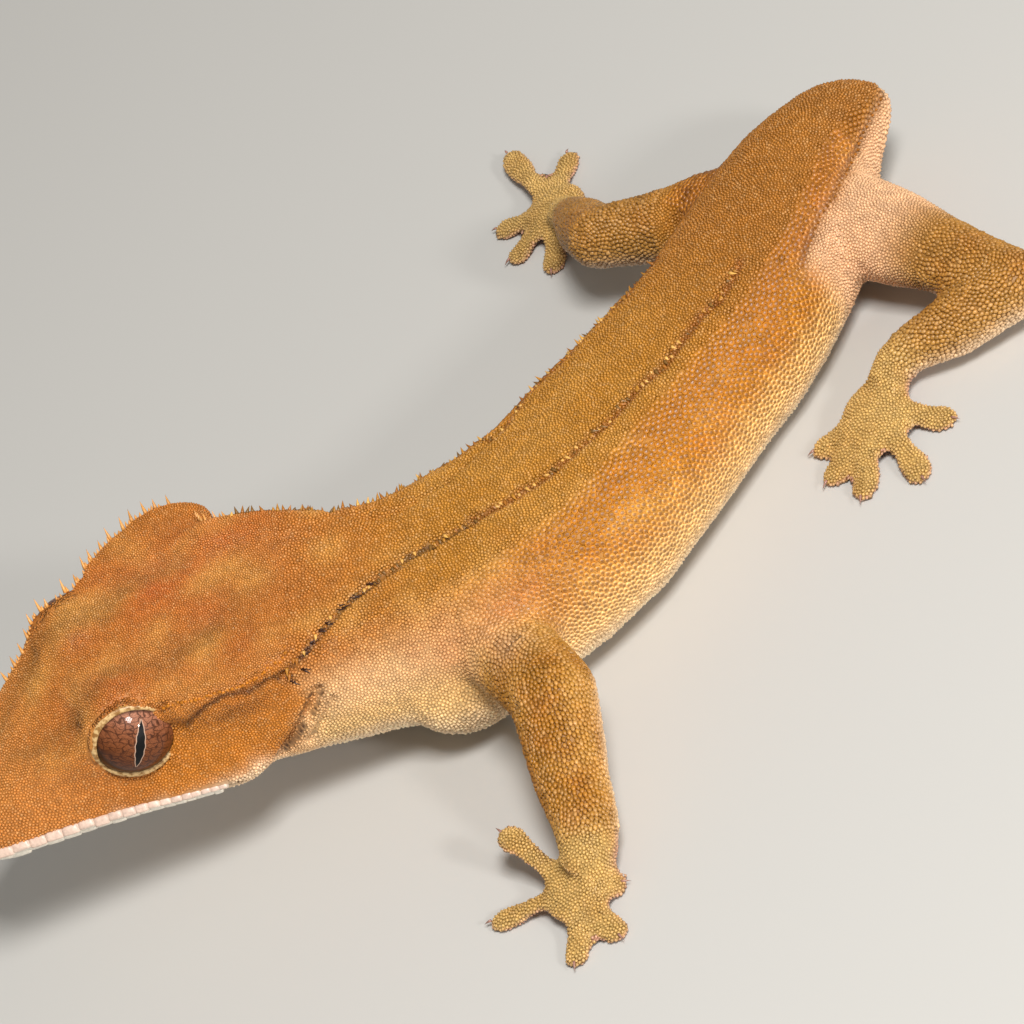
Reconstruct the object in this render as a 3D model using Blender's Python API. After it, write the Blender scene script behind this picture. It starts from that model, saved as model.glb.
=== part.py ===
"""A crested gecko (Correlophus ciliatus) at life size, as a still display model.

The animal lies on its belly with the head raised and turned a little to its left side, the body
bent in a shallow C, the left forearm out to the front, the right hind leg stretched out sideways
and the left one drawn back. The tail is gone, as in most wild adults, and a short stub is left.
The snout points to -Y, the animal's left side to +X and its back to +Z.

Every shape is laid out in millimetres, made one body, parted by thin cuts into the pieces that
have names, and then scaled to metres.
"""

import math

import bmesh
import bpy
import numpy as np
from mathutils import Matrix, Vector

MM = 0.001
# From the layout's zero, under the shoulders, to the middle of the whole animal's box.
BOX_MIDDLE = (-6.96, -2.99)

# The line through the head, snout tip to nape.
HEAD_AXIS = [
    (-5.5, -53.0, 17.2),
    (-5.2, -46.0, 18.2),
    (-4.7, -36.0, 18.6),
    (-4.0, -27.0, 17.6),
    (-3.4, -20.5, 16.2),
]
HEAD_ROLL = math.radians(14.0)
# Distance from the snout tip, then the half outline across the head: height of the crown, the
# crest's place sideways and up, half width at the cheek, the lip's place, and depth of the throat.
HEAD_SECTIONS = [
    (0.0, 0.3, 0.3, 0.2, 0.5, 0.5, -0.2, 0.5),
    (0.4, 1.1, 0.9, 0.8, 1.6, 1.5, -0.7, 1.6),
    (1.0, 1.8, 1.4, 1.3, 2.3, 2.3, -1.0, 2.4),
    (1.9, 2.4, 1.9, 1.9, 3.0, 3.1, -1.4, 3.1),
    (3.5, 2.9, 2.4, 2.4, 3.8, 4.1, -1.9, 3.8),
    (6.5, 3.6, 3.1, 3.1, 4.7, 5.3, -2.6, 4.9),
    (10.0, 4.3, 3.9, 3.8, 5.6, 6.8, -3.3, 5.8),
    (14.0, 5.0, 5.4, 4.5, 6.7, 8.3, -4.1, 6.7),
    (19.0, 5.6, 7.4, 5.1, 7.7, 10.1, -4.9, 7.8),
    (25.0, 5.5, 10.1, 5.3, 10.0, 11.6, -5.2, 8.6),
    (28.6, 5.2, 11.3, 5.0, 10.7, 10.9, -4.9, 8.7),
    (31.4, 5.0, 10.4, 4.6, 9.8, 10.0, -4.4, 8.3),
    (33.2, 4.4, 8.9, 4.0, 8.4, 8.0, -3.6, 6.8),
]
# The rest of that outline: the bend between crown and crest, the cheek's height against the
# crest's, and the jaw's turn, as its width against the lip's and its shares of lip and throat.
CROWN_BEND, CHEEK_LEVEL = 0.55, 0.16
JAW_WIDTH, JAW_LIP_SHARE, JAW_THROAT_SHARE = 0.72, 0.3, 0.7

# The line from inside the back of the head through neck and trunk to the stub's tip.
BODY_AXIS = [
    (-4.0, -26.5, 15.6),
    (-1.6, -20.5, 14.0),
    (0.8, -15.5, 12.1),
    (3.0, -10.0, 10.3),
    (4.5, -4.0, 9.0),
    (4.2, 3.0, 7.9),
    (1.8, 10.0, 7.2),
    (-0.4, 17.0, 6.9),
    (-1.8, 22.0, 6.8),
    (-7.0, 32.0, 7.0),
    (-10.2, 37.0, 7.4),
    (-11.5, 42.0, 7.9),
    (-11.0, 47.0, 8.5),
]
# Distance along that line, then half width, height above and depth below it.
BODY_SECTIONS = [
    (0.0, 9.0, 5.2, 7.6),
    (3.0, 10.1, 6.2, 8.8),
    (8.0, 9.9, 6.6, 9.2),
    (14.0, 9.4, 6.7, 9.0),
    (19.0, 10.1, 7.0, 9.5),
    (25.0, 10.9, 7.5, 9.0),
    (32.0, 10.9, 7.6, 8.0),
    (39.5, 10.6, 7.4, 7.4),
    (47.0, 9.9, 7.0, 7.1),
    (57.0, 9.1, 6.6, 6.8),
    (64.0, 8.4, 6.2, 6.4),
    (69.5, 6.8, 5.6, 5.6),
    (74.5, 4.8, 4.5, 4.3),
    (77.8, 2.9, 2.8, 2.7),
    (79.9, 0.7, 0.7, 0.7),
]
BODY_SQUARENESS = 2.3
ROLL_ENDS_AT = 25.0
# The fold that runs from the head's crest along each side of the back.
FOLD_BEARING = math.radians(44.0)
FOLD_HEIGHT = [
    (0.0, 3.2),
    (4.0, 2.9),
    (8.0, 1.9),
    (13.0, 1.0),
    (18.0, 0.7),
    (30.0, 0.45),
    (60.0, 0.3),
    (72.0, 0.0),
    (80.0, 0.0),
]
FOLD_WIDTH = 0.24

EYE_RADIUS, SOCKET_GAP = 3.7, 0.3
EYE_AT, EYE_OUT, EYE_UP = 18.8, 5.65, 1.95
# The swelling of lids and brow round an eye: its middle outwards and up, and its radii outwards,
# along and up.
ORBIT_OUT, ORBIT_UP, ORBIT_RADII = 4.2, 2.0, (4.3, 5.4, 4.9)
# The opening of the lids: its middle outwards, its height over the eye's, and its radii outwards,
# along and up.
LIDS_OUT, LIDS_OVER, LIDS_RADII = 9.8, 0.15, (3.4, 3.8, 3.3)

# The breast's swelling in front of each arm: distance along the body, outwards and down, and its radii.
BREAST_AT, BREAST_OUT, BREAST_DOWN, BREAST_RADII = 19.6, 5.7, 3.4, (5.2, 6.0, 5.4)

# The mouth's line: distance from the snout tip and height against the head's axis.
MOUTH_LINE = [
    (-6.0, 0.2),
    (1.0, -1.0),
    (4.0, -1.9),
    (10.0, -3.4),
    (17.0, -4.6),
    (24.5, -5.0),
    (28.5, -15.0),
]
GAP = 0.3
VOXEL = 0.33
BODY_TRIANGLES = 4550
SOFTENING_ROUNDS = 3
SHARP_ANGLE = math.radians(50.0)
# Where two plates cross they can leave a sliver, with fewer faces than any piece.
SMALLEST_PIECE = 40


def path_samples(points, count):
    """A smooth curve through the points: places and directions at equal steps of length."""
    points = np.array(points, float)
    knots = np.concatenate([[0.0], np.cumsum(np.linalg.norm(np.diff(points, axis=0), axis=1))])
    slopes = np.gradient(points, knots, axis=0)
    fine = np.linspace(0.0, knots[-1], 40 * len(points))
    span = np.clip(np.searchsorted(knots, fine, side="right") - 1, 0, len(knots) - 2)
    width = (knots[span + 1] - knots[span])[:, None]
    t = ((fine - knots[span])[:, None]) / width
    places = (
        (2 * t**3 - 3 * t**2 + 1) * points[span]
        + (t**3 - 2 * t**2 + t) * width * slopes[span]
        + (-2 * t**3 + 3 * t**2) * points[span + 1]
        + (t**3 - t**2) * width * slopes[span + 1]
    )
    length = np.concatenate([[0.0], np.cumsum(np.linalg.norm(np.diff(places, axis=0), axis=1))])
    even = np.linspace(0.0, length[-1], count)
    places = np.stack([np.interp(even, length, places[:, k]) for k in range(3)], axis=1)
    directions = np.gradient(places, axis=0)
    directions /= np.linalg.norm(directions, axis=1)[:, None]
    return even, places, directions


def glide(table, s, column=1):
    """The value of a column of a table at s, gliding smoothly from row to row without overshoot."""
    xs = np.array([row[0] for row in table], float)
    ys = np.array([row[column] for row in table], float)
    steps = np.diff(ys) / np.diff(xs)
    slopes = np.zeros(len(xs))
    same = steps[1:] * steps[:-1] > 0
    slopes[1:-1][same] = 2 * steps[1:][same] * steps[:-1][same] / (steps[1:] + steps[:-1])[same]
    slopes[0], slopes[-1] = steps[0], steps[-1]
    s = np.clip(s, xs[0], xs[-1])
    k = np.clip(np.searchsorted(xs, s, side="right") - 1, 0, len(xs) - 2)
    h = xs[k + 1] - xs[k]
    t = (s - xs[k]) / h
    return (
        (2 * t**3 - 3 * t**2 + 1) * ys[k]
        + (t**3 - 2 * t**2 + t) * h * slopes[k]
        + (-2 * t**3 + 3 * t**2) * ys[k + 1]
        + (t**3 - t**2) * h * slopes[k + 1]
    )


def sideways_and_up(direction, roll=0.0):
    """The two directions across a path, level and upright, turned by the roll."""
    side = np.cross(direction, (0.0, 0.0, 1.0))
    side /= np.linalg.norm(side)
    up = np.cross(side, direction)
    return (
        side * math.cos(roll) - up * math.sin(roll),
        up * math.cos(roll) + side * math.sin(roll),
    )


def mesh_object(name, bm):
    """The bmesh as an object."""
    mesh = bpy.data.meshes.new(name)
    bm.to_mesh(mesh)
    bm.free()
    thing = bpy.data.objects.new(name, mesh)
    bpy.context.scene.collection.objects.link(thing)
    return thing


def skinned(name, rings):
    """A closed body through rings of points, with a point in the middle of each end."""
    bm = bmesh.new()
    loops = [[bm.verts.new(point) for point in ring] for ring in rings]
    for here, after in zip(loops, loops[1:]):
        for k in range(len(here)):
            nxt = (k + 1) % len(here)
            bm.faces.new((here[k], here[nxt], after[nxt], after[k]))
    for loop in (loops[0], loops[-1]):
        middle = bm.verts.new(sum((v.co for v in loop), Vector()) / len(loop))
        for k in range(len(loop)):
            bm.faces.new((loop[k], loop[(k + 1) % len(loop)], middle))
    bmesh.ops.recalc_face_normals(bm, faces=bm.faces)
    return mesh_object(name, bm)


def ellipsoid(name, centre, axes, radii):
    """A ball stretched along three axes."""
    bm = bmesh.new()
    bmesh.ops.create_uvsphere(bm, u_segments=20, v_segments=12, radius=1.0)
    turn = Matrix([list(axis) for axis in axes]).transposed().to_4x4()
    bm.transform(Matrix.Translation(centre) @ turn @ Matrix.Diagonal((*radii, 1.0)))
    return mesh_object(name, bm)


def frame_at(axis, s, roll):
    """Place, direction, left and up of an axis at a distance along it."""
    length, places, directions = path_samples(axis, 300)
    place = np.array([np.interp(s, length, places[:, k]) for k in range(3)])
    direction = np.array([np.interp(s, length, directions[:, k]) for k in range(3)])
    direction /= np.linalg.norm(direction)
    left, up = sideways_and_up(direction, roll)
    return place, direction, left, up


def body_roll(s):
    """The head's roll, easing out to none at the shoulders."""
    ease = np.clip(s / ROLL_ENDS_AT, 0.0, 1.0)
    return HEAD_ROLL * (1.0 - ease * ease * (3.0 - 2.0 * ease))


def head_frame(s):
    return frame_at(HEAD_AXIS, s, HEAD_ROLL)


def body_frame(s):
    return frame_at(BODY_AXIS, s, body_roll(s))


def half_outline(points, count):
    """A smooth curve through the points, evenly spaced, without its last point."""
    _, places, _ = path_samples([(x, z, 0.0) for x, z in points], count + 1)
    return places[:-1, :2]


def head_section(s, count=22):
    """Sideways and upward offsets of the head's outline at s, down the left side and up the right."""
    crown, crest_x, crest_z, cheek, lip_x, lip_z, throat = (glide(HEAD_SECTIONS, s, k) for k in range(1, 8))
    left = [
        (0.0, crown),
        (CROWN_BEND * crest_x, (1 - CROWN_BEND) * crown + CROWN_BEND * crest_z),
        (crest_x, crest_z),
        (cheek, CHEEK_LEVEL * crest_z),
        (lip_x, lip_z),
        (JAW_WIDTH * lip_x, JAW_LIP_SHARE * lip_z - JAW_THROAT_SHARE * throat),
        (0.0, -throat),
    ]
    down = half_outline(left, count)
    up = half_outline([(-x, z) for x, z in reversed(left)], count)
    outline = np.concatenate([down, up])
    return outline[:, 0], outline[:, 1]


def body_section(s, count=44):
    """Sideways and upward offsets of the body's outline at s."""
    angles = np.linspace(0.0, 2.0 * math.pi, count, endpoint=False)
    across, rise = np.cos(angles), np.sin(angles)
    power = 2.0 / BODY_SQUARENESS
    height = np.where(rise > 0, glide(BODY_SECTIONS, s, 2), glide(BODY_SECTIONS, s, 3))
    out = glide(BODY_SECTIONS, s, 1) * np.sign(across) * np.abs(across) ** power
    high = height * np.sign(rise) * np.abs(rise) ** power
    bearing = np.arctan2(high, np.abs(out))
    ridge = glide(FOLD_HEIGHT, s) * np.exp(-(((bearing - FOLD_BEARING) / FOLD_WIDTH) ** 2))
    size = np.hypot(out, high) + 1e-9
    return out * (1 + ridge / size), high * (1 + ridge / size)


def loft(name, axis, section, roll_at, rings_long):
    """A closed loft of sections along an axis."""
    length, places, directions = path_samples(axis, rings_long)
    rings = []
    for s, place, direction in zip(length, places, directions):
        left, up = sideways_and_up(direction, roll_at(s))
        out, high = section(s)
        rings.append(place + out[:, None] * left + high[:, None] * up)
    return skinned(name, rings)


# Rings along a limb and points round each, and the same for a digit.
LIMB_RINGS, LIMB_POINTS_ROUND = 26, 22
DIGIT_RINGS, DIGIT_POINTS_ROUND = 22, 12


def limb(name, points, radii, flatness=1.0, count=LIMB_RINGS, points_round=LIMB_POINTS_ROUND):
    """A round or flattened limb along a smooth path; radii are pairs of fraction and radius."""
    length, places, directions = path_samples(points, count)
    angles = np.linspace(0.0, 2.0 * math.pi, points_round, endpoint=False)
    rings = []
    for s, place, direction in zip(length / length[-1], places, directions):
        side, up = sideways_and_up(direction)
        radius = glide(radii, s)
        rings.append(
            place
            + radius * np.cos(angles)[:, None] * side
            + radius * flatness * np.sin(angles)[:, None] * up
        )
    return skinned(name, rings)


# Digits: fractions of the length with half widths, and the thickness against the width.
DIGIT_WIDTHS = [(0.0, 1.45), (0.35, 1.1), (0.55, 1.1), (0.74, 1.4), (0.87, 1.35), (0.95, 1.0), (1.0, 0.6)]
DIGIT_FLATNESS = 0.55
# The arch of a digit: how far along its knuckle is and how high, and where the pad begins and how high.
KNUCKLE_AT, KNUCKLE_LIFT, PAD_AT, PAD_LIFT = 0.4, 0.3, 0.72, 0.1
# Height of the middle of a pad's tip over the floor, and of a palm's flesh over its middle.
PAD_LEVEL, PALM_THICK = 0.35, 1.3


def digits(name, palm, tips, scale=1.0):
    """Toes from the palm's middle to their tips, each with a low arch and a wide flat pad."""
    made = []
    palm = np.array(palm, float)
    widths = [(fraction, width * scale) for fraction, width in DIGIT_WIDTHS]
    for number, tip in enumerate(tips, 1):
        tip = np.array(tip, float)
        knuckle = palm + KNUCKLE_AT * (tip - palm) + (0.0, 0.0, KNUCKLE_LIFT)
        before_pad = palm + PAD_AT * (tip - palm)
        before_pad[2] = tip[2] + PAD_LIFT
        route = [palm, knuckle, before_pad, tip]
        label = f"{name}_{number}"
        made.append(limb(label, route, widths, DIGIT_FLATNESS, DIGIT_RINGS, DIGIT_POINTS_ROUND))
    return made


def palm(name, wrist, middle, half_width, half_length):
    """A flattened pad of flesh between the wrist and the toes."""
    wrist, middle = np.array(wrist, float), np.array(middle, float)
    along = middle - wrist
    along[2] = 0.0
    along /= np.linalg.norm(along)
    side = np.cross(along, (0.0, 0.0, 1.0))
    return ellipsoid(name, middle, (side, along, (0, 0, 1)), (half_width, half_length, PALM_THICK))


# Radii of the two lengths of an arm and of a leg, by fraction of each length.
UPPER_ARM_RADII = [(0.0, 4.2), (0.45, 3.9), (0.8, 3.6), (1.0, 3.6)]
FOREARM_RADII = [(0.0, 3.6), (0.3, 3.3), (0.65, 2.8), (0.9, 2.4), (1.0, 2.2)]
THIGH_RADII = [(0.0, 4.3), (0.35, 4.1), (0.7, 3.1), (1.0, 2.8)]
SHANK_RADII = [(0.0, 2.8), (0.35, 2.7), (0.75, 2.0), (1.0, 1.8)]

# Root inside the body, elbow or knee, wrist or ankle, middle of the palm, and the digit tips.
LEFT_ARM = dict(
    root=(7.5, -8.0, 9.2),
    bend=(22.1, -7.0, 9.2),
    end=(32.5, -13.2, 3.0),
    palm=(33.0, -15.6, 1.35),
    tips=[(24.6, -17.4, 4.2), (27.7, -22.9, PAD_LEVEL), (38.8, -19.6, PAD_LEVEL),
          (39.9, -15.3, PAD_LEVEL), (35.2, -12.2, PAD_LEVEL)],
)
RIGHT_ARM = dict(
    root=(0.5, -7.0, 8.6),
    bend=(-11.6, -4.6, 5.2),
    end=(-14.8, -15.0, 3.0),
    palm=(-15.6, -18.0, 1.35),
    tips=[(-10.6, -21.0, PAD_LEVEL), (-13.6, -25.0, PAD_LEVEL), (-18.2, -25.4, PAD_LEVEL),
          (-22.2, -22.2, PAD_LEVEL), (-22.6, -17.2, PAD_LEVEL)],
)
LEFT_LEG = dict(
    root=(-5.5, 36.4, 6.6),
    bend=(15.4, 42.6, 4.2),
    end=(11.0, 31.2, 2.6),
    palm=(12.0, 27.8, 1.4),
    tips=[(9.8, 21.4, PAD_LEVEL), (14.2, 20.4, PAD_LEVEL), (18.8, 21.6, PAD_LEVEL),
          (22.2, 26.4, PAD_LEVEL), (19.0, 31.8, PAD_LEVEL)],
)
RIGHT_LEG = dict(
    root=(-9.0, 34.5, 7.4),
    bend=(-22.8, 21.2, 8.2),
    end=(-36.0, 21.2, 3.0),
    palm=(-40.4, 20.8, 1.4),
    tips=[(-34.6, 16.6, PAD_LEVEL), (-40.6, 14.4, PAD_LEVEL), (-46.0, 15.6, PAD_LEVEL),
          (-53.8, 21.4, 0.8), (-47.8, 25.5, PAD_LEVEL)],
)
# Names of the three pieces, radii of both lengths, the palm's half width and half length, and the
# digits' size against an arm's.
ARM = (("upper_arm", "forearm", "hand"), UPPER_ARM_RADII, FOREARM_RADII, (3.3, 3.2), 1.0)
LEG = (("thigh", "shank", "foot"), THIGH_RADII, SHANK_RADII, (3.3, 3.3), 1.08)
MEMBERS = (
    ("left", "arm", LEFT_ARM, *ARM),
    ("right", "arm", RIGHT_ARM, *ARM),
    ("left", "leg", LEFT_LEG, *LEG),
    ("right", "leg", RIGHT_LEG, *LEG),
)


def member_solids(side, kind, member, names, upper_radii, lower_radii, palm_size, digit_scale):
    """Both lengths of an arm or leg, its palm and its digits."""
    label = f"{side}_{kind}"
    root, bend, end, middle = (np.array(member[key], float) for key in ("root", "bend", "end", "palm"))
    upper_route = [root, (root + bend) / 2, bend]
    lower_route = [bend, (bend + end) / 2, end, (end + middle) / 2]
    made = [
        limb(label + "_upper", upper_route, upper_radii),
        ellipsoid(label + "_joint", bend, np.eye(3), [upper_radii[-1][1]] * 3),
        limb(label + "_lower", lower_route, lower_radii),
        palm(label + "_palm", end, middle, *palm_size),
    ]
    return made + digits(label + "_digit", middle, member["tips"], digit_scale)


def eye_place(sign):
    """Middle of an eyeball."""
    place, _, left, up = head_frame(EYE_AT)
    return place + sign * EYE_OUT * left + EYE_UP * up


def orbit(name, sign):
    """The bulge of lids and brow round an eye."""
    place, along, left, up = head_frame(EYE_AT)
    middle = place + sign * ORBIT_OUT * left + ORBIT_UP * up
    return ellipsoid(name, middle, (left, along, up), ORBIT_RADII)


def socket(sign):
    """The hollow for an eyeball and the opening of its lids, as two bodies to take out."""
    place, along, left, up = head_frame(EYE_AT)
    opening = place + sign * LIDS_OUT * left + (EYE_UP + LIDS_OVER) * up
    axes = (left, along, up)
    yield ellipsoid(f"socket_{sign}", eye_place(sign), axes, [EYE_RADIUS + SOCKET_GAP] * 3)
    yield ellipsoid(f"lids_{sign}", opening, axes, LIDS_RADII)


def breast(name, sign):
    """The swelling of the breast in front of an arm."""
    place, along, left, up = body_frame(BREAST_AT)
    middle = place + sign * BREAST_OUT * left - BREAST_DOWN * up
    return ellipsoid(name, middle, (left, along, up), BREAST_RADII)


def evaluated(thing):
    """The object with its modifiers applied."""
    graph = bpy.context.evaluated_depsgraph_get()
    mesh = bpy.data.meshes.new_from_object(thing.evaluated_get(graph))
    thing.modifiers.clear()
    thing.data = mesh
    return thing


def joined(name, things):
    """Several objects as one."""
    bm = bmesh.new()
    for thing in things:
        bm.from_mesh(thing.data)
        bpy.data.objects.remove(thing)
    return mesh_object(name, bm)


def melted(thing, triangles):
    """Overlapping bodies melted into one surface, smoothed and thinned."""
    remesh = thing.modifiers.new("one surface", "REMESH")
    remesh.mode = "VOXEL"
    remesh.voxel_size = VOXEL
    smooth = thing.modifiers.new("soften", "SMOOTH")
    smooth.factor = 0.5
    smooth.iterations = SOFTENING_ROUNDS
    evaluated(thing)
    faces = sum(len(p.vertices) - 2 for p in thing.data.polygons)
    thin = thing.modifiers.new("thin", "DECIMATE")
    thin.ratio = triangles / faces
    thin.use_collapse_triangulate = True
    return evaluated(thing)


# The block under the floor that levels the animal's underside.
BLOCK_WIDTH, BLOCK_DEPTH = 200.0, 20.0


def flattened(thing):
    """Cut level at the floor, which leaves the flats that the animal rests on."""
    bm = bmesh.new()
    bmesh.ops.create_cube(bm, size=1.0)
    size = Matrix.Diagonal((BLOCK_WIDTH, BLOCK_WIDTH, BLOCK_DEPTH, 1.0))
    bm.transform(Matrix.Translation((0, 0, -BLOCK_DEPTH / 2)) @ size)
    return difference(thing, mesh_object("under_floor", bm))


def slab(name, centre, normal, half_size):
    """A thin square plate across a limb, as thick as the gap between two pieces."""
    turn = Vector(normal).to_track_quat("Z", "Y").to_matrix().to_4x4()
    bm = bmesh.new()
    bmesh.ops.create_cube(bm, size=1.0)
    size = Matrix.Diagonal((2 * half_size, 2 * half_size, GAP, 1.0))
    bm.transform(Matrix.Translation(centre) @ turn @ size)
    return mesh_object(name, bm)


# The mouth's plate is square to the head at this distance from the snout, and this wide each way.
MOUTH_MIDDLE, MOUTH_HALF_WIDTH = 12.0, 16.0


def mouth_plate():
    """A bent plate along the mouth, from in front of the snout to the corner and down the throat."""
    place, along, left, up = head_frame(MOUTH_MIDDLE)
    snout = place - MOUTH_MIDDLE * along
    bm = bmesh.new()
    rows = []
    for x, z in MOUTH_LINE:
        middle = Vector(snout + x * along + z * up)
        reach = MOUTH_HALF_WIDTH * Vector(left)
        rows.append([bm.verts.new(middle - reach), bm.verts.new(middle + reach)])
    for here, after in zip(rows, rows[1:]):
        bm.faces.new((here[0], here[1], after[1], after[0]))
    plate = mesh_object("mouth_plate", bm)
    thick = plate.modifiers.new("thick", "SOLIDIFY")
    thick.thickness = GAP
    thick.offset = 0.0
    return evaluated(plate)


# Where the shoulder or hip and the wrist or ankle are parted, as fractions of each length.
SHOULDER_CUT, WRIST_CUT = {"left_arm": 0.6, "right_arm": 0.74, "left_leg": 0.62, "right_leg": 0.6}, 0.92
# Where the body is parted, as distances along its axis, and half the side of each plate.
BODY_CUTS = [(8.5, 14.0), (16.3, 12.0), (74.0, 7.5)]
# Half the side of the plates across the limbs.
SHOULDER_PLATE, ELBOW_PLATE, WRIST_PLATE = 5.4, 7.4, 4.2


def limb_cuts(side, kind, member):
    """Places, directions and sizes of the three plates across a limb."""
    root, bend, end = (np.array(member[key], float) for key in ("root", "bend", "end"))
    shoulder = SHOULDER_CUT[f"{side}_{kind}"]
    yield root + shoulder * (bend - root), bend - root, SHOULDER_PLATE
    turn = (bend - root) / np.linalg.norm(bend - root) + (end - bend) / np.linalg.norm(end - bend)
    yield bend, turn, ELBOW_PLATE
    yield bend + WRIST_CUT * (end - bend), end - bend, WRIST_PLATE


def part_plates():
    """Every plate that parts the body."""
    plates = [mouth_plate()]
    for s, half in BODY_CUTS:
        place, direction, _, _ = body_frame(s)
        plates.append(slab(f"cut_{s}", place, direction, half))
    for side, kind, member, names, *_ in MEMBERS:
        for number, (place, direction, half) in enumerate(limb_cuts(side, kind, member)):
            plates.append(slab(f"cut_{side}_{names[number]}", place, direction, half))
    return plates


def difference(thing, cutter):
    """The cutter taken out of the object."""
    cut = thing.modifiers.new("cut", "BOOLEAN")
    cut.operation = "DIFFERENCE"
    cut.solver = "MANIFOLD"
    cut.object = cutter
    evaluated(thing)
    bpy.data.objects.remove(cutter)
    return thing


# Distance along the head and height over its line, or distance along the body, of a point in each piece.
HEAD_MARKS = {"head": (22.0, 3.0), "lower_jaw": (16.0, -4.6)}
BODY_MARKS = {"neck": 15.0, "trunk": 45.0, "tail_stub": 76.0}


def landmarks():
    """A point inside each piece, which gives the piece its name."""
    marks = {name: body_frame(s)[0] for name, s in BODY_MARKS.items()}
    for name, (s, height) in HEAD_MARKS.items():
        place, _, _, up = head_frame(s)
        marks[name] = place + height * up
    for side, _, member, names, *_ in MEMBERS:
        root, bend, end, middle = (np.array(member[key], float) for key in ("root", "bend", "end", "palm"))
        marks[f"{side}_{names[0]}"] = root + 0.7 * (bend - root)
        marks[f"{side}_{names[1]}"] = (bend + end) / 2
        marks[f"{side}_{names[2]}"] = middle
    return marks


def loose_pieces(thing):
    """The separate shells of an object, each as a bmesh."""
    bm = bmesh.new()
    bm.from_mesh(thing.data)
    bm.faces.ensure_lookup_table()
    left, shells = set(bm.faces), []
    while left:
        stack, shell = [left.pop()], []
        while stack:
            face = stack.pop()
            shell.append(face)
            near = {f for edge in face.edges for f in edge.link_faces} & left
            left -= near
            stack.extend(near)
        shells.append(shell)
    pieces = []
    for shell in shells:
        keep = bmesh.new()
        made = {}
        for face in shell:
            corners = []
            for vert in face.verts:
                if vert.index not in made:
                    made[vert.index] = keep.verts.new(vert.co)
                corners.append(made[vert.index])
            keep.faces.new(corners)
        pieces.append(keep)
    bm.free()
    bpy.data.objects.remove(thing)
    return pieces


def finish(name, colour, roughness):
    """A plain material in the piece's own colour."""
    material = bpy.data.materials.new(name)
    material.use_nodes = True
    shader = material.node_tree.nodes["Principled BSDF"]
    shader.inputs["Base Color"].default_value = (*colour, 1.0)
    shader.inputs["Roughness"].default_value = roughness
    shader.inputs["Metallic"].default_value = 0.0
    return material


SKIN_ROUGHNESS, EYE_ROUGHNESS = 0.55, 0.1
COLOURS = {
    "head": (0.42, 0.19, 0.06), "lower_jaw": (0.62, 0.46, 0.30), "neck": (0.44, 0.20, 0.06),
    "trunk": (0.42, 0.21, 0.05), "tail_stub": (0.44, 0.20, 0.05), "eye": (0.16, 0.06, 0.04),
    "upper_arm": (0.40, 0.20, 0.06), "forearm": (0.44, 0.24, 0.07), "hand": (0.48, 0.27, 0.09),
    "thigh": (0.46, 0.25, 0.09), "shank": (0.44, 0.24, 0.08), "foot": (0.48, 0.27, 0.09),
}


def colour_of(name):
    """The colour of a piece, told by the end of its name."""
    for kind, colour in COLOURS.items():
        if name == kind or name.endswith("_" + kind):
            return colour
    raise ValueError(name)


def to_metres(thing):
    """From the layout's millimetres to metres, with the box's middle over zero."""
    shift = Matrix.Translation((-BOX_MIDDLE[0], -BOX_MIDDLE[1], 0.0))
    thing.data.transform(Matrix.Scale(MM, 4) @ shift)
    thing.data.shade_smooth()
    thing.data.set_sharp_from_angle(angle=SHARP_ANGLE)


def whole_animal():
    """Everything but the eyes as one surface."""
    things = [
        loft("head", HEAD_AXIS, head_section, lambda s: HEAD_ROLL, 44),
        loft("body", BODY_AXIS, body_section, body_roll, 84),
        orbit("left_orbit", 1),
        orbit("right_orbit", -1),
        breast("left_breast", 1),
        breast("right_breast", -1),
    ]
    for member in MEMBERS:
        things.extend(member_solids(*member))
    return flattened(melted(joined("animal", things), BODY_TRIANGLES))


def eyeball(name, sign):
    """A plain ball for an eye."""
    _, along, left, up = head_frame(EYE_AT)
    ball = ellipsoid(name, eye_place(sign), (left, along, up), [EYE_RADIUS] * 3)
    ball.data.materials.append(finish(name, colour_of(name), EYE_ROUGHNESS))
    to_metres(ball)


def main():
    for thing in list(bpy.data.objects):
        bpy.data.objects.remove(thing)
    animal = whole_animal()
    for hollow in [*socket(1), *socket(-1)]:
        difference(animal, hollow)
    for plate in part_plates():
        difference(animal, plate)
    marks = landmarks()
    for piece in loose_pieces(animal):
        if len(piece.faces) < SMALLEST_PIECE:
            piece.free()
            continue
        centre = sum((v.co for v in piece.verts), Vector()) / len(piece.verts)
        name = min(marks, key=lambda mark: (Vector(marks[mark]) - centre).length)
        thing = mesh_object(name, piece)
        thing.data.materials.append(finish(name, colour_of(name), SKIN_ROUGHNESS))
        to_metres(thing)
    eyeball("left_eye", 1)
    eyeball("right_eye", -1)


main()
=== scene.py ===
# %% [markdown]
# # A crested gecko with a coat of real scales
# The solids give the animal's outline, parted into named pieces. This lesson melts the pieces of
# flesh into one skin, sculpts its folds, lays a coat of separate scales over it, and makes the
# eyes, spines, lip plates and claws. Everything is in metres, in the frame's own place.

# %% Load the frame
import math

import bpy
import numpy as np
from mathutils import Matrix, Vector, noise
from mathutils.bvhtree import BVHTree
from mathutils.kdtree import KDTree


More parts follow.
